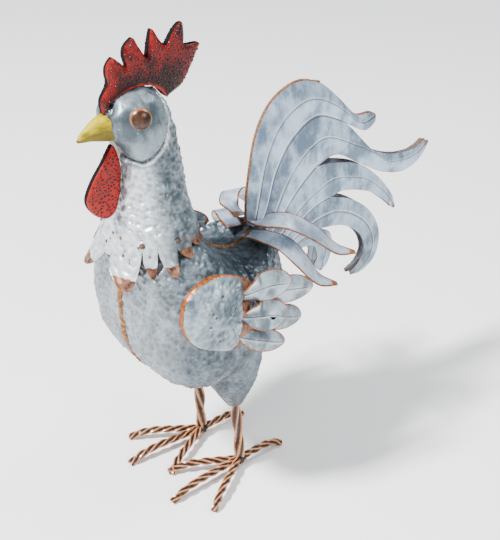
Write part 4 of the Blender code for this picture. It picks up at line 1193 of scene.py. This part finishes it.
def tail_strip(index, left, right, parted_left, parted_right):
    """One feather of the fan between two edges, its pressed line midway."""
    grid = []
    for row_index, (front, rear) in enumerate(zip(left, right)):
        width = (rear - front).length
        ridge = TAIL_CREASE * min(1.0, width / 14)
        free_left = row_index >= parted_left
        free_right = row_index >= parted_right
        run = row_index / (len(left) - 1)
        tip = ease(0.93, 0.985, run) * 0.62 * (1 if index else 0.8)
        row = []
        for across in TAIL_STOPS:
            place = front.lerp(rear, across)
            away = place - Vector(TAIL_FRONT[0])
            closing = 1 - 0.8 * min(1.0, away.length / TAIL_REACH) ** 2
            spread = TAIL_EDGE + TAIL_SPREAD * (1 - exp(-1.6 * (index + across))) * closing
            beside = (across - 0.5) * width
            from_left = across * width
            from_right = (1 - across) * width
            hill = max(0.0, 1 - abs(across - 0.5) * 2) ** 1.1
            lift = ridge * hill - 0.45 * exp(-(beside / 0.8) ** 2)
            bare = min(from_left if free_left else 99, from_right if free_right else 99)
            edge_reach = 1.9 if index == 0 and across < 0.5 else 1.3
            rim = max((1 - ease(0.3, edge_reach, bare)) * 0.8, tip)
            # Painted shade along the pressed line and the joins of feathers not yet parted, with a painted
            # highlight beside each
            painted_recess_shade = exp(-(beside / 0.7) ** 2)
            painted_highlight = exp(-((beside + 1.3) / 0.7) ** 2)
            if not free_left:
                painted_recess_shade = max(painted_recess_shade, exp(-(from_left / 0.6) ** 2))
            if not free_right:
                painted_recess_shade = max(painted_recess_shade, exp(-(from_right / 0.6) ** 2))
                painted_highlight = max(painted_highlight, exp(-((from_right - 1.3) / 0.8) ** 2))
            # The last value darkens the lower feathers towards their tips: partly painted shade, partly
            # duller zinc
            row.append((placed((spread + lift, place.x, place.y)), rim, min(1.0, painted_recess_shade) * 0.95,
                        painted_highlight * 0.9 * (1 - 0.6 * run), TAIL_SHADE_AND_DULLING[index] * (0.45 + 0.55 * run)))
        grid.append(row)
    return grid_mesh("tail_strip", grid, ("rim", "painted_recess_shade", "painted_highlight", "painted_shade"), closed=False)


# Legs, toes and welds
def toe_path(heading, length):
    """Middle line of a left toe: level from the hub, then bent down to the ground."""
    turn = radians(heading)
    ahead = Vector((sin(turn), -cos(turn), 0))
    hub = Vector((FOOT_X, FOOT_Y, HUB_LEVEL)) + ahead * 2.5
    length -= 2.5
    shares = [(0.0, 0.0), (0.3, 0.06), (0.6, 0.10), (0.82, -0.22), (0.94, -0.70), (1.0, -1.0)]
    fall = HUB_LEVEL - TOE_TIP_LEVEL
    points = [hub + ahead * length * share + Vector((0, 0, fall * level)) for share, level in shares]
    return [placed(point) for point in smooth(points, 60)]


def bar_mesh(name, path, bar, pitch):
    """A twisted bar along a path."""
    length = sum((end - start).length for start, end in zip(path, path[1:]))
    values = {"Radius": bar / sqrt(2) * 1.02, "Waist": bar / 2 * 0.96, "Turn": 2 * pi / pitch,
              "Rows": int(length / 0.0011), "Finish": BAR}
    return clean(grown(name, line_mesh(name, path), BAR_TREE, values))


def bead_mesh(name, path, beads, finish=WELD):
    """Weld beads along a path."""
    values = dict(zip(("Size", "Step", "Seed"), beads), Finish=finish)
    return grown(name, line_mesh(name, path), BEAD_TREE, values)


def tree_of(mesh):
    """A search tree over a mesh."""
    form = bmesh.new()
    form.from_mesh(mesh)
    tree = BVHTree.FromBMesh(form)
    form.free()
    return tree


BAR_TREE = bar_tree()
BEAD_TREE = bead_tree()
STUD_TREE = stud_tree()


def make_bird():
    """Every piece of the bird, from the body outwards."""
    body = body_mesh()
    body_tree = tree_of(body)
    show("body_skin", body, BODY_ZINC, ["body_left", "body_right"])
    neck = neck_mesh(body_tree)
    neck_tree = tree_of(neck)
    show("head_and_neck_skin", neck, HEAD_ZINC, ["head_and_neck_left", "head_and_neck_right"])
    skin("comb", comb_mesh())
    skin("wattle", wattle_mesh())
    skin("beak", beak_mesh(), YELLOW)
    pair("eye", eye_mesh(), COPPER)
    for title, angle, above in zip(("front", "rear"), RIVET_ANGLES, RIVET_ABOVE_COLLAR):
        ahead = Vector((sin(radians(angle)), -cos(radians(angle)), 0))
        start = placed((0, NECK_AXIS, COLLAR_LEVEL + above)) + ahead * FAR_OFF
        spot = met(neck_tree, [(start, -ahead)])[0]
        rivet = grid_mesh("rivet", rings_about(spot, ahead, RIVET_PROFILE, 20))
        pair("collar_rivet_" + title, rivet, SPOT)

    cap = cap_mesh(body_tree)
    cap_tree = tree_of(cap)
    pair("wing_cap", cap, WING_ZINC)
    for name, spine, width in WING_FEATHERS:
        points = [(BODY_HALF_WIDTH + off, y, z) for off, y, z in spine]
        widths = [width * share for share in feather_shape(0.5 if "rear" in name else 0.10)]
        sheet = feather_sheet(points, widths, (1, 0, 0.1), FEATHER_ROWS, FEATHER_CREASE,
                              fold=FOLD_LIFT if name in FOLDED_FEATHERS else 0.0)
        pair(name, thickened(sheet, FEATHER_ZINC))

    pair("tail_fan", thickened(tail_sheet(), TAIL_ZINC))
    for name, spine in SICKLES:
        sheet = feather_sheet(spine, SICKLE_HALF_WIDTHS, (0.45, 0.1, 0.9), SICKLE_ROWS,
                              root_patina=SICKLE_ROOT_RUST)
        pair(name, thickened(sheet, SICKLE_ZINC))

    knee = (FOOT_X, FOOT_Y - 1, 40)
    leg_path = [placed(point) for point in smooth([(FOOT_X, FOOT_Y, 5), knee, LEG_TOP], 60)]
    pair("leg", bar_mesh("leg", leg_path, LEG_BAR, LEG_TWIST_PITCH))
    for name, heading, length in TOES:
        toe = bar_mesh("toe_" + name, toe_path(heading, length), TOE_BAR, TOE_TWIST_PITCH)
        pair("toe_" + name, toe)
    make_welds(body_tree, cap_tree)


def make_welds(body_tree, cap_tree):
    """Beads on the breast, along the back, up the tail's front edge, at the hubs and on the wing caps."""
    rays = []
    for k in range(110):
        turn = radians(BREAST_WELD_START + BREAST_WELD_TURN * k / 109)
        way = Vector((0, cos(turn), sin(turn)))
        rays.append((placed((0, *BODY_CENTRE)) - way * FAR_OFF, way))
    breast = met(body_tree, rays, 0.0019)
    upper = bead_mesh("breast_weld_upper", breast[:BREAST_WELD_SPLIT + 2], BREAST_UPPER_BEADS)
    lower = bead_mesh("breast_weld_lower", breast[BREAST_WELD_SPLIT:], BREAST_LOWER_BEADS)
    show("breast_weld", joined("breast_weld", [upper, lower]))
    down = Vector((0, 0, -1))
    rays = [(placed((0, BACK_WELD_START + BACK_WELD_RUN * k / 39, FAR_OFF / UNIT)), down) for k in range(40)]
    back = met(body_tree, rays, 0.0012)
    show("back_weld", bead_mesh("back_weld", back, BACK_BEADS))
    front = [placed((0, *point)) + Vector((0, 0.0012, 0)) for point in smooth(TAIL_FRONT[:6], 90)]
    show("tail_weld", bead_mesh("tail_weld", front, TAIL_BEADS))
    for side, title in ((1, "left"), (-1, "right")):
        hub = placed((side * FOOT_X, FOOT_Y, HUB_LEVEL))
        ring = []
        for k in range(15):
            turn = 2 * pi * k / 14
            rise = -0.001 + 0.003 * (k % 2)
            ring.append(hub + Vector((HUB_REACH * cos(turn), HUB_REACH * sin(turn), rise)))
        beads = bead_mesh("hub_weld", ring, (*HUB_BEADS, 9 + side), BAR)
        show("hub_weld_" + title, beads)
    spots = []
    for spot in met(cap_tree, [(placed((300, y, z)), INWARD) for y, z in WING_SPOTS], 0.0004):
        spots.append(bead_mesh("spot", [spot, spot + Vector((0, 0.0006, 0.0004))], SPOT_BEADS, SPOT))
    dots = joined("wing_spots", spots)
    other = flipped(dots, "wing_spots_right")
    show("wing_spots_left", dots)
    show("wing_spots_right", other)


# Stage, light and camera
def aimed(item, place, target):
    """Put a lamp or the camera at a place and turn it to a target."""
    item.location = place
    item.rotation_euler = (Vector(target) - Vector(place)).to_track_quat("-Z", "Y").to_euler()


def make_stage():
    """A pale floor, soft lights and the camera at the photograph's angle."""
    floor_mesh = bpy.data.meshes.new("floor")
    floor_mesh.from_pydata([(-6, -6, 0), (6, -6, 0), (6, 6, 0), (-6, 6, 0)], [], [(0, 1, 2, 3)])
    floor = held("floor", floor_mesh)
    paper = bpy.data.materials.new("pale_floor")
    paper.use_nodes = True
    paint = paper.node_tree.nodes["Principled BSDF"].inputs
    paint["Base Color"].default_value = (0.92, 0.92, 0.92, 1)
    paint["Roughness"].default_value = 0.9
    floor_mesh.materials.append(paper)

    world = bpy.data.worlds.new("studio")
    bpy.context.scene.world = world
    world.use_nodes = True
    sky = world.node_tree.nodes["Background"].inputs
    sky["Color"].default_value = (0.90, 0.95, 1.0, 1)
    sky["Strength"].default_value = 0.55

    for name, place, size, power in LIGHTS:
        light = bpy.data.lights.new(name, "AREA")
        light.size = size
        light.energy = power
        aimed(held(name, light), place, LIGHT_TARGET)

    lens = bpy.data.cameras.new("camera")
    lens.sensor_fit = "VERTICAL"
    lens.sensor_height = 36.0
    lens.lens = CAMERA_LENS
    camera = held("camera", lens)
    aimed(camera, CAMERA_PLACE, CAMERA_TARGET)
    bpy.context.scene.camera = camera


make_bird()
make_stage()
